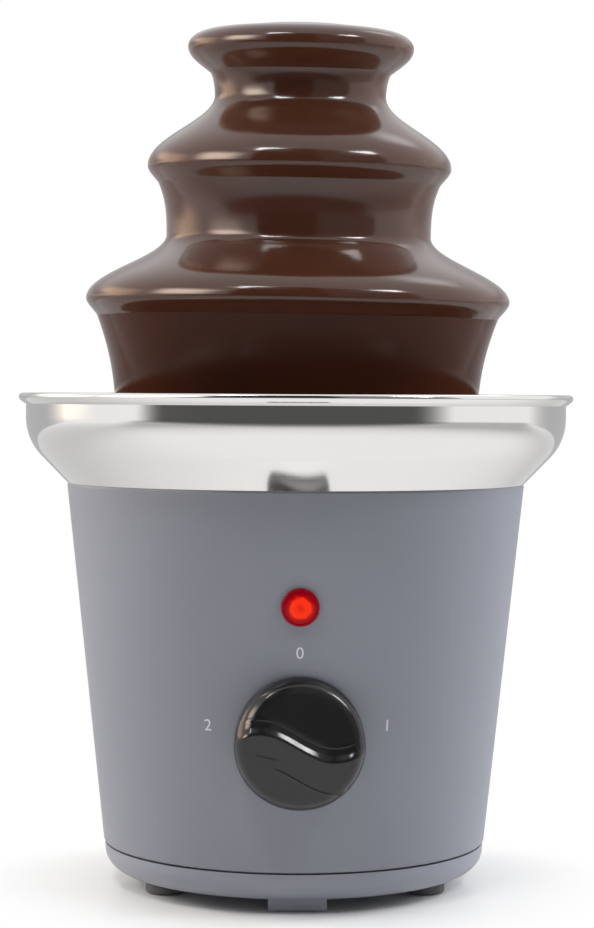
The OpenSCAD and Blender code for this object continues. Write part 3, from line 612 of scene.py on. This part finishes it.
def make_bowl():
    """Spun bowl: the side, a rolled rim with a blunt nose near its top, and the same side again inside."""
    bead = (RIM_R - BEAD_R, RIM_TOP - BEAD_R)
    root = (WALL_R, RIM_TOP - ROOT_DROP * BEAD_R)
    nose = (RIM_R, RIM_TOP - NOSE_DROP * BEAD_R)
    crest = (bead[0], RIM_TOP)
    under = cubic(root, (root[0] + ROOT_OUT * BEAD_R, root[1] + ROOT_UP * BEAD_R),
                  (nose[0], nose[1] - NOSE_DOWN * BEAD_R), nose, 24)
    over = cubic(nose, (nose[0], nose[1] + NOSE_UP * BEAD_R),
                 (crest[0] + CREST_OUT * BEAD_R, crest[1]), crest, 20)
    outline = joined((DRAIN_R, FLOOR_UNDER), bowl_side(0), under, over, arc(bead, BEAD_R, 90, 180, 20),
                     bowl_side(SHEET)[::-1], (DRAIN_R, FLOOR_Z))
    piece = lathe("steel_bowl", outline, SHELL_COLUMNS)
    return finish_piece(piece, "base", "bowl_steel", BOWL_STEEL, "bowl")


def make_housing():
    """Tapered shell: a straight cone with small rounded edges, the bowl's seat on top and a plain inside."""
    edge = HOUSING_EDGE
    seat = (HOUSING_TOP_R - SEAT_W, HOUSING_TOP_Z - SEAT_W / math.tan(SLOPE))
    haunch_z = seat[1] - SEAT_T - SEAT_W
    outline = joined((HOUSING_LOW_R - HOUSING_WALL, HOUSING_Z),
                     arc((HOUSING_LOW_R - edge, HOUSING_Z + edge), edge, -90, 0, 10),
                     line((wall_radius(HOUSING_Z + edge), HOUSING_Z + edge),
                          (wall_radius(HOUSING_TOP_Z - edge), HOUSING_TOP_Z - edge), 40),
                     (HOUSING_TOP_R - edge / 2, HOUSING_TOP_Z - edge / 3), seat, (seat[0], seat[1] - SEAT_T),
                     (wall_radius(haunch_z) - HOUSING_WALL, haunch_z))
    piece = lathe("housing_shell", outline, SHELL_COLUMNS, sharp=30)
    return finish_piece(piece, "base", "housing_plastic", HOUSING_PLASTIC, "housing")


# Chocolate
def over_tier(neck, lip):
    """Flow over a tier: a cubic that leaves the neck straight down and meets the lip straight down."""
    drop = neck[1] - lip[1]
    return cubic(neck, (neck[0], neck[1] - NECK_PULL * drop), (lip[0], lip[1] + LIP_PULL * drop), lip, 48)


def fold_under(lip):
    """Crease under a lip, where the falling sheet starts."""
    return (lip[0] - FOLD_IN, lip[1] - FOLD_DROP)


def under_lip(lip):
    """Underside of a lip: a cubic rolled in to the crease."""
    fold = fold_under(lip)
    return cubic(lip, (lip[0], lip[1] - ROLL_PULL * FOLD_DROP),
                 (fold[0] + ROLL_PULL * FOLD_IN, fold[1] + FOLD_PULL * FOLD_DROP), fold, 20)


def fall(lip, foot):
    """Falling sheet: a cubic that draws in from the crease under the lip and hangs straight at its foot."""
    fold = fold_under(lip)
    inward = fold[0] - foot[0]
    drop = fold[1] - foot[1]
    return cubic(fold, (fold[0] - DRAW_IN * inward, fold[1] - FALL_PULL * drop),
                 (foot[0], foot[1] + HANG_PULL * drop), foot, 40)


def inside_flow(neck, lip):
    """Inner side of one flow: round the tier's edge and along its top to the neck."""
    edge = (lip[0] - LIP_COVER, lip[1] + LIP_RISE)
    inner = neck[0] - SHEET_T
    return joined((edge[0], edge[1] - TIER_WALL), edge, (inner, neck[1] - NECK_COVER), (inner, neck[1]))


def crown_outside():
    """Crown: up the tube's mouth, a flat top, a full round lip and a tight fillet into the upper neck."""
    mouth = (TUBE_BORE_R, CROWN_TOP - MOUTH_EDGE)
    flat = (CROWN_FLAT_R, CROWN_TOP)
    lip = (CROWN_LIP_R, CROWN_LIP_Z)
    above_neck = (UPPER_NECK[0], UPPER_NECK[1] + NECK_ABOVE)
    return joined((TUBE_BORE_R, CROWN_TOP - MOUTH_DEPTH), mouth,
                  cubic(mouth, (mouth[0], CROWN_TOP - MOUTH_EDGE / 3), (mouth[0] + 2 * MOUTH_EDGE, CROWN_TOP),
                        flat, 12),
                  cubic(flat, (flat[0] + CROWN_ROLL, CROWN_TOP), (lip[0], lip[1] + LIP_ABOVE), lip, 32),
                  cubic(lip, (lip[0], lip[1] - LIP_BELOW), CROWN_FOLD + FOLD_WAY, CROWN_FOLD, 28),
                  cubic(CROWN_FOLD, CROWN_FOLD - FOLD_SHARE * FOLD_WAY, above_neck, UPPER_NECK, 24))


def tower_outline():
    """Chocolate on the tower as one closed outline: down the outside over three lips, then up the inside."""
    outside = joined(crown_outside(), over_tier(UPPER_NECK, MIDDLE_LIP), under_lip(MIDDLE_LIP),
                     fall(MIDDLE_LIP, LOWER_NECK), over_tier(LOWER_NECK, LOWER_LIP), under_lip(LOWER_LIP))
    dish_edge = (CROWN_LIP_R - DISH_IN, CROWN_LIP_Z - DISH_DOWN)
    inside = joined(under_lip(LOWER_LIP)[-1] - (SHEET_T, 0), inside_flow(LOWER_NECK, LOWER_LIP),
                    fall(MIDDLE_LIP, LOWER_NECK)[::-1] - (SHEET_T, 0), inside_flow(UPPER_NECK, MIDDLE_LIP),
                    (UPPER_NECK[0] - SHEET_T, CROWN_FOLD[1]),
                    (dish_edge[0], dish_edge[1] - DISH_WALL), dish_edge,
                    (TUBE_R, CROWN_TOP - DISH_DEPTH), (TUBE_R, CROWN_TOP - MOUTH_DEPTH))
    return joined(outside, inside)[::-1]


def swayed(outline):
    """Outline turned round, leaning right and drooping at the front, with slow waves that grow downwards. The
    curtain's foot and the mouth of the tube stay in place."""
    points, angle = turned(outline, FLOW_COLUMNS)
    x, y, z = (points[..., k].copy() for k in range(3))
    depth = np.clip((CROWN_TOP - z) / (CROWN_TOP - LOWER_LIP[1]), 0, 1)
    hold = np.clip((z - CURTAIN_FOOT[1]) / (LOWER_LIP[1] - CURTAIN_FOOT[1]), 0, 1)
    droop = np.interp(z, (LOWER_LIP[1], MIDDLE_LIP[1], CROWN_LIP_Z), DROOP)
    free = smooth((np.hypot(x, y) - TUBE_R) / LEAN_FADE)
    rightward = LEAN_RIGHT * (LEFT_SHARE + (1 - LEFT_SHARE) * (1 + np.cos(angle)) / 2)
    front = (y - np.hypot(y, LEAN_FADE)) / 2
    wave = sum(share * np.sin(count * angle + start) for share, count, start in WAVES)
    points[..., 0] += free * rightward * (z - CURTAIN_FOOT[1])
    points[..., 2] += hold * (depth * SWAY * wave + free * (droop * front - LEAN_RIGHT * x))
    return points


def make_tower_chocolate():
    """Flow over the tower, from the mouth of the tube down to the crease under the lower lip."""
    piece = add_grid("tower_chocolate", swayed(tower_outline()), sharp=50)
    return finish_piece(piece, "tower", "chocolate", CHOCOLATE, "crown_flow", "middle_flow", "lower_flow")


def make_curtain():
    """Falling sheet from the crease under the lower lip to the pool: the fall, and the same curve set in by
    the sheet's thickness."""
    outside = fall(LOWER_LIP, CURTAIN_FOOT)
    outline = joined(outside, outside[::-1] - (SHEET_T, 0))[::-1]
    piece = add_grid("curtain_chocolate", swayed(outline), sharp=50)
    return finish_piece(piece, "tower", "chocolate", SHADED_FALLING_CHOCOLATE)


def make_well():
    """Chocolate welling up in the mouth of the tube: a low dome over a plug, turned about the axis."""
    radius = TUBE_BORE_R - WELL_GAP
    base = bottom_of("well")
    edge = (radius, CROWN_TOP - WELL_DOME)
    outline = joined((0, base), (radius, base), line((radius, base), edge, 6),
                     cubic(edge, (radius, CROWN_TOP - WELL_ROLL), (radius * WELL_FLAT, CROWN_TOP),
                           (0, CROWN_TOP), 32))
    piece = lathe("well_chocolate", outline, SMALL_COLUMNS, False)
    return finish_piece(piece, "auger", "chocolate", CHOCOLATE, "well")


def make_pool():
    """Pool: bowl-shaped below; on top, sine ripples die away outwards from a swell round the curtain."""
    side = bowl_side(SHEET)
    rise = (POOL_Z - RIM_TOP + WALL_DROP) * math.sin(SLOPE)
    top_r = WALL_R - SHOULDER_R + (rise + SHOULDER_R - SHEET) / math.cos(SLOPE)
    corner_top = FLOOR_Z + CORNER_R * (1 - math.cos(SLOPE))
    under = joined((POOL_IN_R, FLOOR_Z), side[side[:, 1] < corner_top], (top_r, POOL_Z))
    points, angle = turned(joined(under, line((top_r, POOL_Z), (POOL_IN_R, POOL_Z), POOL_ROWS)), POOL_COLUMNS)
    ring = np.hypot(points[..., 0], points[..., 1])
    out = ring - CURTAIN_FOOT[0] - RIPPLE_START
    fade = np.clip((top_r - ring) / POOL_EDGE, 0, 1)
    swing = RIPPLE_SWING * np.sin(SWINGS * angle)
    ripple = RIPPLE_H * np.sin(TURN * out / RIPPLE_LENGTH + swing) * np.exp(-out / RIPPLE_REACH)
    swell = SWELL_H * np.exp(-out / SWELL_REACH)
    on_top = (points[..., 2] > POOL_Z - SAME_POINT) & (out > 0)
    points[..., 2] += np.where(on_top, (ripple + swell) * fade, 0)
    piece = add_grid("pool_chocolate", points, sharp=60)
    return finish_piece(piece, "base", "chocolate", CHOCOLATE, "pool")


# Front controls
WALL_SIDE = np.array([1.0, 0.0, 0.0])
WALL_UP = np.array([0.0, -math.sin(TAPER), math.cos(TAPER)])
WALL_OUT = np.array([0.0, -math.cos(TAPER), -math.sin(TAPER)])


def wall_point(z):
    """Point of the front wall's middle line at a level."""
    return np.array([0.0, -wall_radius(z), z])


def on_front(points, z):
    """Places points given in the front wall's own frame: x to the right, y up the wall, z out of it."""
    across = points[..., 0:1] * WALL_SIDE
    up = points[..., 1:2] * WALL_UP
    out = points[..., 2:3] * WALL_OUT
    return wall_point(z) + across + up + out


def pointer_relief(x, y):
    """Raised pointer under the crest: a wedge that narrows to its tip near the rim, with soft edges."""
    along = (x - POINTER_TIP[0]) / POINTER_L
    middle = POINTER_TIP[1] - POINTER_FALL * along
    half = POINTER_NARROW + POINTER_WIDENS * along
    inside = smooth((half - np.abs(y - middle)) / POINTER_EDGE)
    ends = smooth(along * TIP_STEEP) * smooth((1 - along) * TAIL_STEEP)
    return POINTER_H * inside * ends


def soft_min(a, b, round_over):
    """Smaller of two heights, with the corner between them rounded over a stretch of height."""
    near = np.clip(1 - np.abs(a - b) / round_over, 0, 1)
    return np.minimum(a, b) - round_over / 4 * near ** 2


def fine_line(off, place, height, width):
    """Fine ridge: a bell curve over the distance from a line."""
    return height * np.exp(-((off - place) / width) ** 2)


def knob_height(x, y):
    """Height of the knob's front: a crest along the S curve y = shift - wave sin x with a steep flank above,
    a plane from the flank's foot to the upper rim, a lower side, fine ridges, the pointer and a round rim."""
    radius = np.hypot(x, y)
    off = y - (CREST_SHIFT - CREST_WAVE * np.sin(TURN * (x + CREST_START) / CREST_LENGTH))
    upper = FLANK_FOOT - UPPER_FALL * np.clip(off - FLANK_W, 0, None)
    brow = CREST_H - BROW_FALL * off
    flank = np.maximum(brow, FLANK_FOOT + FLANK_FALL * (FLANK_W - off))
    lower = CREST_H + LOWER_FALL * off
    grip = -soft_min(-upper, -soft_min(flank, lower, CREST_ROUND), FOOT_ROUND)
    grip += fine_line(off, *FOOT_LINE)
    grip += fine_line(off, *LOWER_LINE) * smooth((x - LOWER_FROM) / LOWER_GROWS)
    near_rim = np.clip((radius - RIM_FROM) / (KNOB_R - RIM_FROM), 0, 1)
    lowered = np.clip(grip, 0, None) * RIM_LOWERED * near_rim ** 2
    over_rim = np.clip(radius - KNOB_R + KNOB_EDGE, 0, KNOB_EDGE)
    rim = KNOB_EDGE - np.sqrt(KNOB_EDGE ** 2 - over_rim ** 2)
    return KNOB_FACE + grip - lowered + pointer_relief(x, y) - rim


def knob_radii():
    """Radii of the rings on the knob's front: even over the face, then closing up to the rim by a sine."""
    face_rows = 0.85
    face_share = 0.86
    out = np.linspace(0, 1, KNOB_ROWS)[:, None]
    face = out / face_rows * face_share
    edge = face_share + (1 - face_share) * np.sin((out - face_rows) / (1 - face_rows) * math.pi / 2)
    return KNOB_R * np.where(out < face_rows, face, edge)


def make_knob():
    """Knob on a polar grid: the carved front out to the rim, then side, skirt, hollow back, hub and bore."""
    angle = np.linspace(0, TURN, KNOB_COLUMNS, endpoint=False)[None, :]
    radius = knob_radii()
    x = radius * np.cos(angle)
    y = radius * np.sin(angle)
    front = np.stack([x, y, knob_height(x, y)], axis=-1)
    down = np.linspace(0, 1, SIDE_ROWS)[1:, None]
    side = np.broadcast_to(front[-1], (len(down), KNOB_COLUMNS, 3)).copy()
    side[..., 2] = front[-1, :, 2] * (1 - down) + KNOB_GAP * down
    skirt = KNOB_R - SKIRT_WALL
    roof = KNOB_FACE - FACE_WALL
    bore_roof = KNOB_FACE - BORE_ROOF
    back = joined((skirt, KNOB_GAP), (skirt, roof), (HUB_R, roof), (HUB_R, HUB_GAP), (BORE_R, HUB_GAP),
                  (BORE_R, bore_roof), (0, bore_roof))
    behind, _ = turned(back, KNOB_COLUMNS)
    grid = np.concatenate([front, side, behind])[::-1]
    piece = add_grid("control_knob", on_front(grid, KNOB_Z), False, 50)
    return finish_piece(piece, "control", "knob_black", KNOB_GLOSS, "knob")


def make_lens():
    """Lamp lens: a low dome with a rounded flange on a stem, turned about the wall's normal. Its ring
    attribute is the distance from that axis over the lens's radius."""
    size = np.array([LAMP_R, LAMP_DOME])
    profile = joined((0, -LAMP_STEM_L), (LAMP_STEM_R, -LAMP_STEM_L), (LAMP_STEM_R, LAMP_SEAT),
                     (LAMP_R, LAMP_SEAT), cubic(*(size * FLANGE_CURVE), 10), cubic(*(size * DOME_CURVE), 28))
    grid, _ = turned(profile, SMALL_COLUMNS)
    piece = add_grid("pilot_lens", on_front(grid, LAMP_Z), False, 60)
    place = vertex_places(piece.data) - wall_point(LAMP_Z)
    away = np.hypot(place[:, 0], place @ WALL_UP) / LAMP_R
    piece.data.attributes.new("ring", "FLOAT", "POINT").data.foreach_set("value", away.astype(np.float32))
    return finish_piece(piece, "base", "lens_red", LENS_RED, "lamp_lens")


def number_mesh(digit):
    """Flat mesh of a number, thick enough to be a solid."""
    words = bpy.data.curves.new("number_" + digit, "FONT")
    words.body = digit
    words.align_x = "CENTER"
    words.align_y = "CENTER"
    words.size = NUMBER_H / NUMBER_SHARE
    words.extrude = INK_T
    words.resolution_u = 8
    holder = bpy.data.objects.new("number_" + digit, words)
    bpy.context.scene.collection.objects.link(holder)
    bpy.context.view_layer.update()
    mesh = bpy.data.meshes.new_from_object(holder.evaluated_get(bpy.context.evaluated_depsgraph_get()))
    bpy.data.objects.remove(holder)
    return mesh


def make_number(digit, z, turn):
    """Printed number: its mesh bent round the housing's cone, at a level and an angle from the front."""
    mesh = number_mesh(digit)
    place = vertex_places(mesh)
    height = z + place[:, 1] * math.cos(TAPER)
    angle = math.radians(turn) + place[:, 0] / wall_radius(height)
    lift = INK_LIFT + place[:, 2]
    radius = wall_radius(height) + lift
    sunk = height - lift * math.sin(TAPER)
    bent = np.stack([radius * np.sin(angle), -radius * np.cos(angle), sunk], axis=1)
    mesh.vertices.foreach_set("co", bent.ravel())
    piece = bpy.data.objects.new("dial_number_" + digit, mesh)
    bpy.context.scene.collection.objects.link(piece)
    return finish_piece(piece, "base", "housing_plastic", NUMBER_INK)


make_bowl()
make_housing()
make_tower_chocolate()
make_curtain()
make_well()
make_pool()
make_knob()
make_lens()
for digit, place in NUMBER_PLACES.items():
    make_number(digit, *place)

# Finishes of the carried-over nodes
NODE_FINISHES = {
    COVER_PLASTIC_PAINTED_LIGHTER: ["bottom_cover"],
    FOOT_RUBBER: ["feet"],
    SEAL_RUBBER: ["bowl_seal"],
    ALUMINIUM: ["heater_plate", "gearbox"],
    CERAMIC: ["thermostat", "terminal_block"],
    MOTOR_STEEL: ["motor"],
    BLACK_PLASTIC: ["rotary_switch", "cord_gland", "gland_nut"],
    WHITE_PLASTIC: ["lamp_holder", "auger_core", "auger_flight", "tower_tube", "crown", "middle_tier",
                    "lower_tier"],
    SHAFT_STEEL: ["switch_spindle", "drive_shaft", "shaft_collar", "heater_tube"],
    ZINC_STEEL: ["cover_screws", "standoffs", "standoff_screws", "motor_bracket", "bracket_screws",
                 "gearbox_screws", "switch_nut", "lamp_clip"],
}
for finish, names in NODE_FINISHES.items():
    for name in names:
        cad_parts[name].material_slots[0].material = finish

# Stage: soft light from all round, and the floor's fades as distances and its painted shade in reflections
AMBIENT = 0.66
WHITE = (1.0, 1.0, 1.0)
FLOOR_R = 3.0
FLOOR_LEVEL = -0.02 * MM
FLOOR_FADE = (0.055, 0.125)
MIRROR_FADE = (0.07, 0.11)
# In reflections the floor is painted darker behind the object, a painted shadow, and far ahead of it, painted
# shade.
AHEAD = (0.35, -1.0, 0.0)
BEHIND_FADE = (-0.25, 0.15)
NEAR_FADE = (0.30, 2.0)
PAINTED_SHADOW_BEHIND = 0.67
FAR_FADE = (0.30, 1.0)
PAINTED_SHADE_AHEAD = 0.52
MIDDLE = (0, 0, 0.2)


def studio_world():
    """White round the object for what is seen, and a softer white for the light that falls on it."""
    world = bpy.data.worlds.new("studio")
    world.use_nodes = True
    tree = world.node_tree
    light = tree.nodes["Background"]
    light.inputs["Color"].default_value = shade(WHITE, 1)
    light.inputs["Strength"].default_value = AMBIENT
    white = tree.nodes.new("ShaderNodeBackground")
    white.inputs["Color"].default_value = shade(WHITE, 1)
    path = tree.nodes.new("ShaderNodeLightPath").outputs
    seen = math_node(tree, "MAXIMUM", path["Is Camera Ray"], mirrored_rays(tree, path))
    mix_shaders(tree, seen, light.outputs["Background"], white.outputs["Background"], "World Output")
    bpy.context.scene.world = world


def painted_floor_shade(tree, place, away):
    """Floor's tone in reflections, painted shade: dimmer far ahead of the object and, as its painted shadow,
    close behind it; white elsewhere.
    """
    ahead = tree.nodes.new("ShaderNodeVectorMath")
    ahead.operation = "DOT_PRODUCT"
    ahead.inputs[1].default_value = AHEAD
    tree.links.new(place, ahead.inputs[0])
    behind = step_down(tree, ahead.outputs["Value"], *BEHIND_FADE)
    shadow_behind = math_node(tree, "MULTIPLY_ADD", step_down(tree, away, *NEAR_FADE), PAINTED_SHADOW_BEHIND - 1, 1)
    shade_ahead = math_node(tree, "MULTIPLY_ADD", step_down(tree, away, *FAR_FADE), 1 - PAINTED_SHADE_AHEAD, PAINTED_SHADE_AHEAD)
    tone = tree.nodes.new("ShaderNodeMix")
    tree.links.new(behind, socket(tone.inputs, "Factor_Float"))
    tree.links.new(shade_ahead, socket(tone.inputs, "A_Float"))
    tree.links.new(shadow_behind, socket(tone.inputs, "B_Float"))
    return socket(tone.outputs, "Result_Float")


def floor_material():
    """Glossy white table that fades to plain white away from the object, and to its painted shade in
    reflections.
    """
    material, tree, surface = start_material("floor")
    surface.inputs["Base Color"].default_value = shade(WHITE, 0.93)
    surface.inputs["Roughness"].default_value = 0.12
    place = object_place(tree)
    away = length_node(tree, place)
    path = tree.nodes.new("ShaderNodeLightPath").outputs
    seen_near = math_node(tree, "MULTIPLY", step_down(tree, away, *FLOOR_FADE), path["Is Camera Ray"])
    mirror_near = math_node(tree, "MULTIPLY", step_down(tree, away, *MIRROR_FADE), mirrored_rays(tree, path))
    table = math_node(tree, "ADD", path["Is Diffuse Ray"], math_node(tree, "MAXIMUM", seen_near, mirror_near))
    white = tree.nodes.new("ShaderNodeEmission")
    strength = math_node(tree, "MAXIMUM", painted_floor_shade(tree, place, away), path["Is Camera Ray"])
    tree.links.new(strength, white.inputs["Strength"])
    mix_shaders(tree, table, white.outputs["Emission"], surface.outputs["BSDF"], "Material Output")
    return material


def make_floor():
    """Floor: a flat disc of rings about the origin."""
    outline = line((FLOOR_R, FLOOR_LEVEL), (0, FLOOR_LEVEL), FLOOR_ROWS)
    floor = lathe("floor", outline, FLOOR_COLUMNS, False)
    floor.data.materials.append(floor_material())


def aimed(place, target):
    """Place and turn of something that faces a target along its own downward axis, as a lamp does."""
    way = Vector(target) - Vector(place)
    return Matrix.Translation(place) @ way.to_track_quat("-Z", "Y").to_matrix().to_4x4()


def card_material(name, color, half, soft):
    """Plain glowing card that fades out over a soft border along its sides."""
    material, tree, _ = start_material(name)
    split = tree.nodes.new("ShaderNodeSeparateXYZ")
    tree.links.new(object_place(tree), split.inputs["Vector"])
    fades = []
    for axis, edge, border in zip("XY", half, soft):
        off = math_node(tree, "ABSOLUTE", split.outputs[axis])
        fades.append(step_down(tree, off, edge - border, edge))
    glow = tree.nodes.new("ShaderNodeEmission")
    glow.inputs["Color"].default_value = color + (1.0,)
    clear = tree.nodes.new("ShaderNodeBsdfTransparent")
    mix_shaders(tree, math_node(tree, "MULTIPLY", *fades), clear.outputs["BSDF"], glow.outputs["Emission"],
                "Material Output")
    return material


def make_card(name, place, target, size, soft, color, shades=False):
    """Flat card that faces a target; it shows in reflections and, where it shades, dims the soft light."""
    half = (size[0] / 2, size[1] / 2)
    corners = np.array([(-1, -1, 0), (1, -1, 0), (1, 1, 0), (-1, 1, 0)]) * (*half, 0)
    card = add_mesh(name, corners, np.array([[0, 1, 2, 3]]))
    card.matrix_world = aimed(place, target)
    card.data.materials.append(card_material(name, color, half, soft))
    card.visible_camera = False
    card.visible_diffuse = shades
    card.visible_shadow = False


def front_card(name, low, high, y, soft, tone):
    """Upright grey card in front of the object between two corners (x, z) in the plane at y."""
    place = ((low[0] + high[0]) / 2, y, (low[1] + high[1]) / 2)
    size = (high[0] - low[0], high[1] - low[1])
    make_card(name, place, (place[0], 0, place[2]), size, soft, (tone, tone, tone), True)


def soft_light(name, place, size, power, color=WHITE, mirrored=True):
    """Soft box turned to the object's middle; where it isn't mirrored, reflections show a card instead."""
    lamp = bpy.data.lights.new(name, "AREA")
    lamp.shape = "RECTANGLE"
    lamp.size, lamp.size_y = size
    lamp.energy = power
    lamp.color = color
    holder = bpy.data.objects.new(name, lamp)
    bpy.context.scene.collection.objects.link(holder)
    holder.matrix_world = aimed(place, MIDDLE)
    holder.visible_glossy = mirrored


studio_world()
make_floor()
front_card("dark_front", low=(-0.31, 0.20), high=(0.13, 0.95), y=-0.40, soft=(0.05, 0.02), tone=0.03)
front_card("grey_right", low=(-0.05, 0.19), high=(0.95, 0.95), y=-0.41, soft=(0.12, 0.03), tone=0.26)
front_card("dark_low", low=(-1.05, 0.07), high=(0.88, 0.27), y=-0.42, soft=(0.50, 0.06), tone=0.09)
make_card("grey_back", place=(0, 0.75, 0.14), target=(0, 0, 0.14), size=(4.4, 0.40), soft=(1.3, 0.08),
          color=(0.50, 0.50, 0.51))
make_card("grey_upper", place=(0, 0.80, 0.42), target=(0, 0, 0.42), size=(3.0, 0.44), soft=(0.9, 0.20),
          color=(0.55, 0.55, 0.56))
make_card("warm_left", place=(-1.60, 0.90, 0.65), target=MIDDLE, size=(2.2, 1.3), soft=(0.8, 0.4),
          color=(3.0, 2.25, 1.7))
make_card("window", place=(-1.50, -0.66, 0.88), target=MIDDLE, size=(1.5, 1.5), soft=(0.60, 0.55),
          color=(10.0, 8.2, 6.8))
make_card("cool_right", place=(0.73, 0.92, 1.48), target=MIDDLE, size=(0.6, 0.8), soft=(0.25, 0.35),
          color=(2.4, 2.45, 2.5))
soft_light("top_left", place=(-0.42, -0.75, 1.55), size=(0.45, 0.30), power=7.5)
soft_light("top_right", place=(0.95, -0.62, 1.42), size=(0.45, 0.30), power=7.5)
soft_light("left_side", place=(-1.50, 0.70, 0.70), size=(0.6, 0.8), power=28.0, color=(1.0, 0.94, 0.86),
           mirrored=False)
soft_light("right_side", place=(1.50, 0.70, 0.70), size=(0.6, 0.8), power=27.0, color=(0.97, 0.98, 1.0),
           mirrored=False)

# Camera: its place, its turns in degrees and its focal length in millimetres
CAMERA_AT = (-19.5 * MM, -859.8 * MM, 174.2 * MM)
CAMERA_YAW = -1.33
CAMERA_PITCH = 1.572
CAMERA_ROLL = 0.3
FOCAL_LENGTH = 91.9
camera = bpy.data.cameras.new("camera")
camera.lens = FOCAL_LENGTH
camera.clip_start = 10 * MM
eye = bpy.data.objects.new("camera", camera)
bpy.context.scene.collection.objects.link(eye)
eye.matrix_world = (Matrix.Translation(CAMERA_AT) @ Matrix.Rotation(math.radians(CAMERA_YAW), 4, "Z")
                    @ Matrix.Rotation(math.radians(90 - CAMERA_PITCH), 4, "X")
                    @ Matrix.Rotation(math.radians(CAMERA_ROLL), 4, "Z"))
bpy.context.scene.camera = eye
bpy.context.scene.view_settings.view_transform = "Standard"
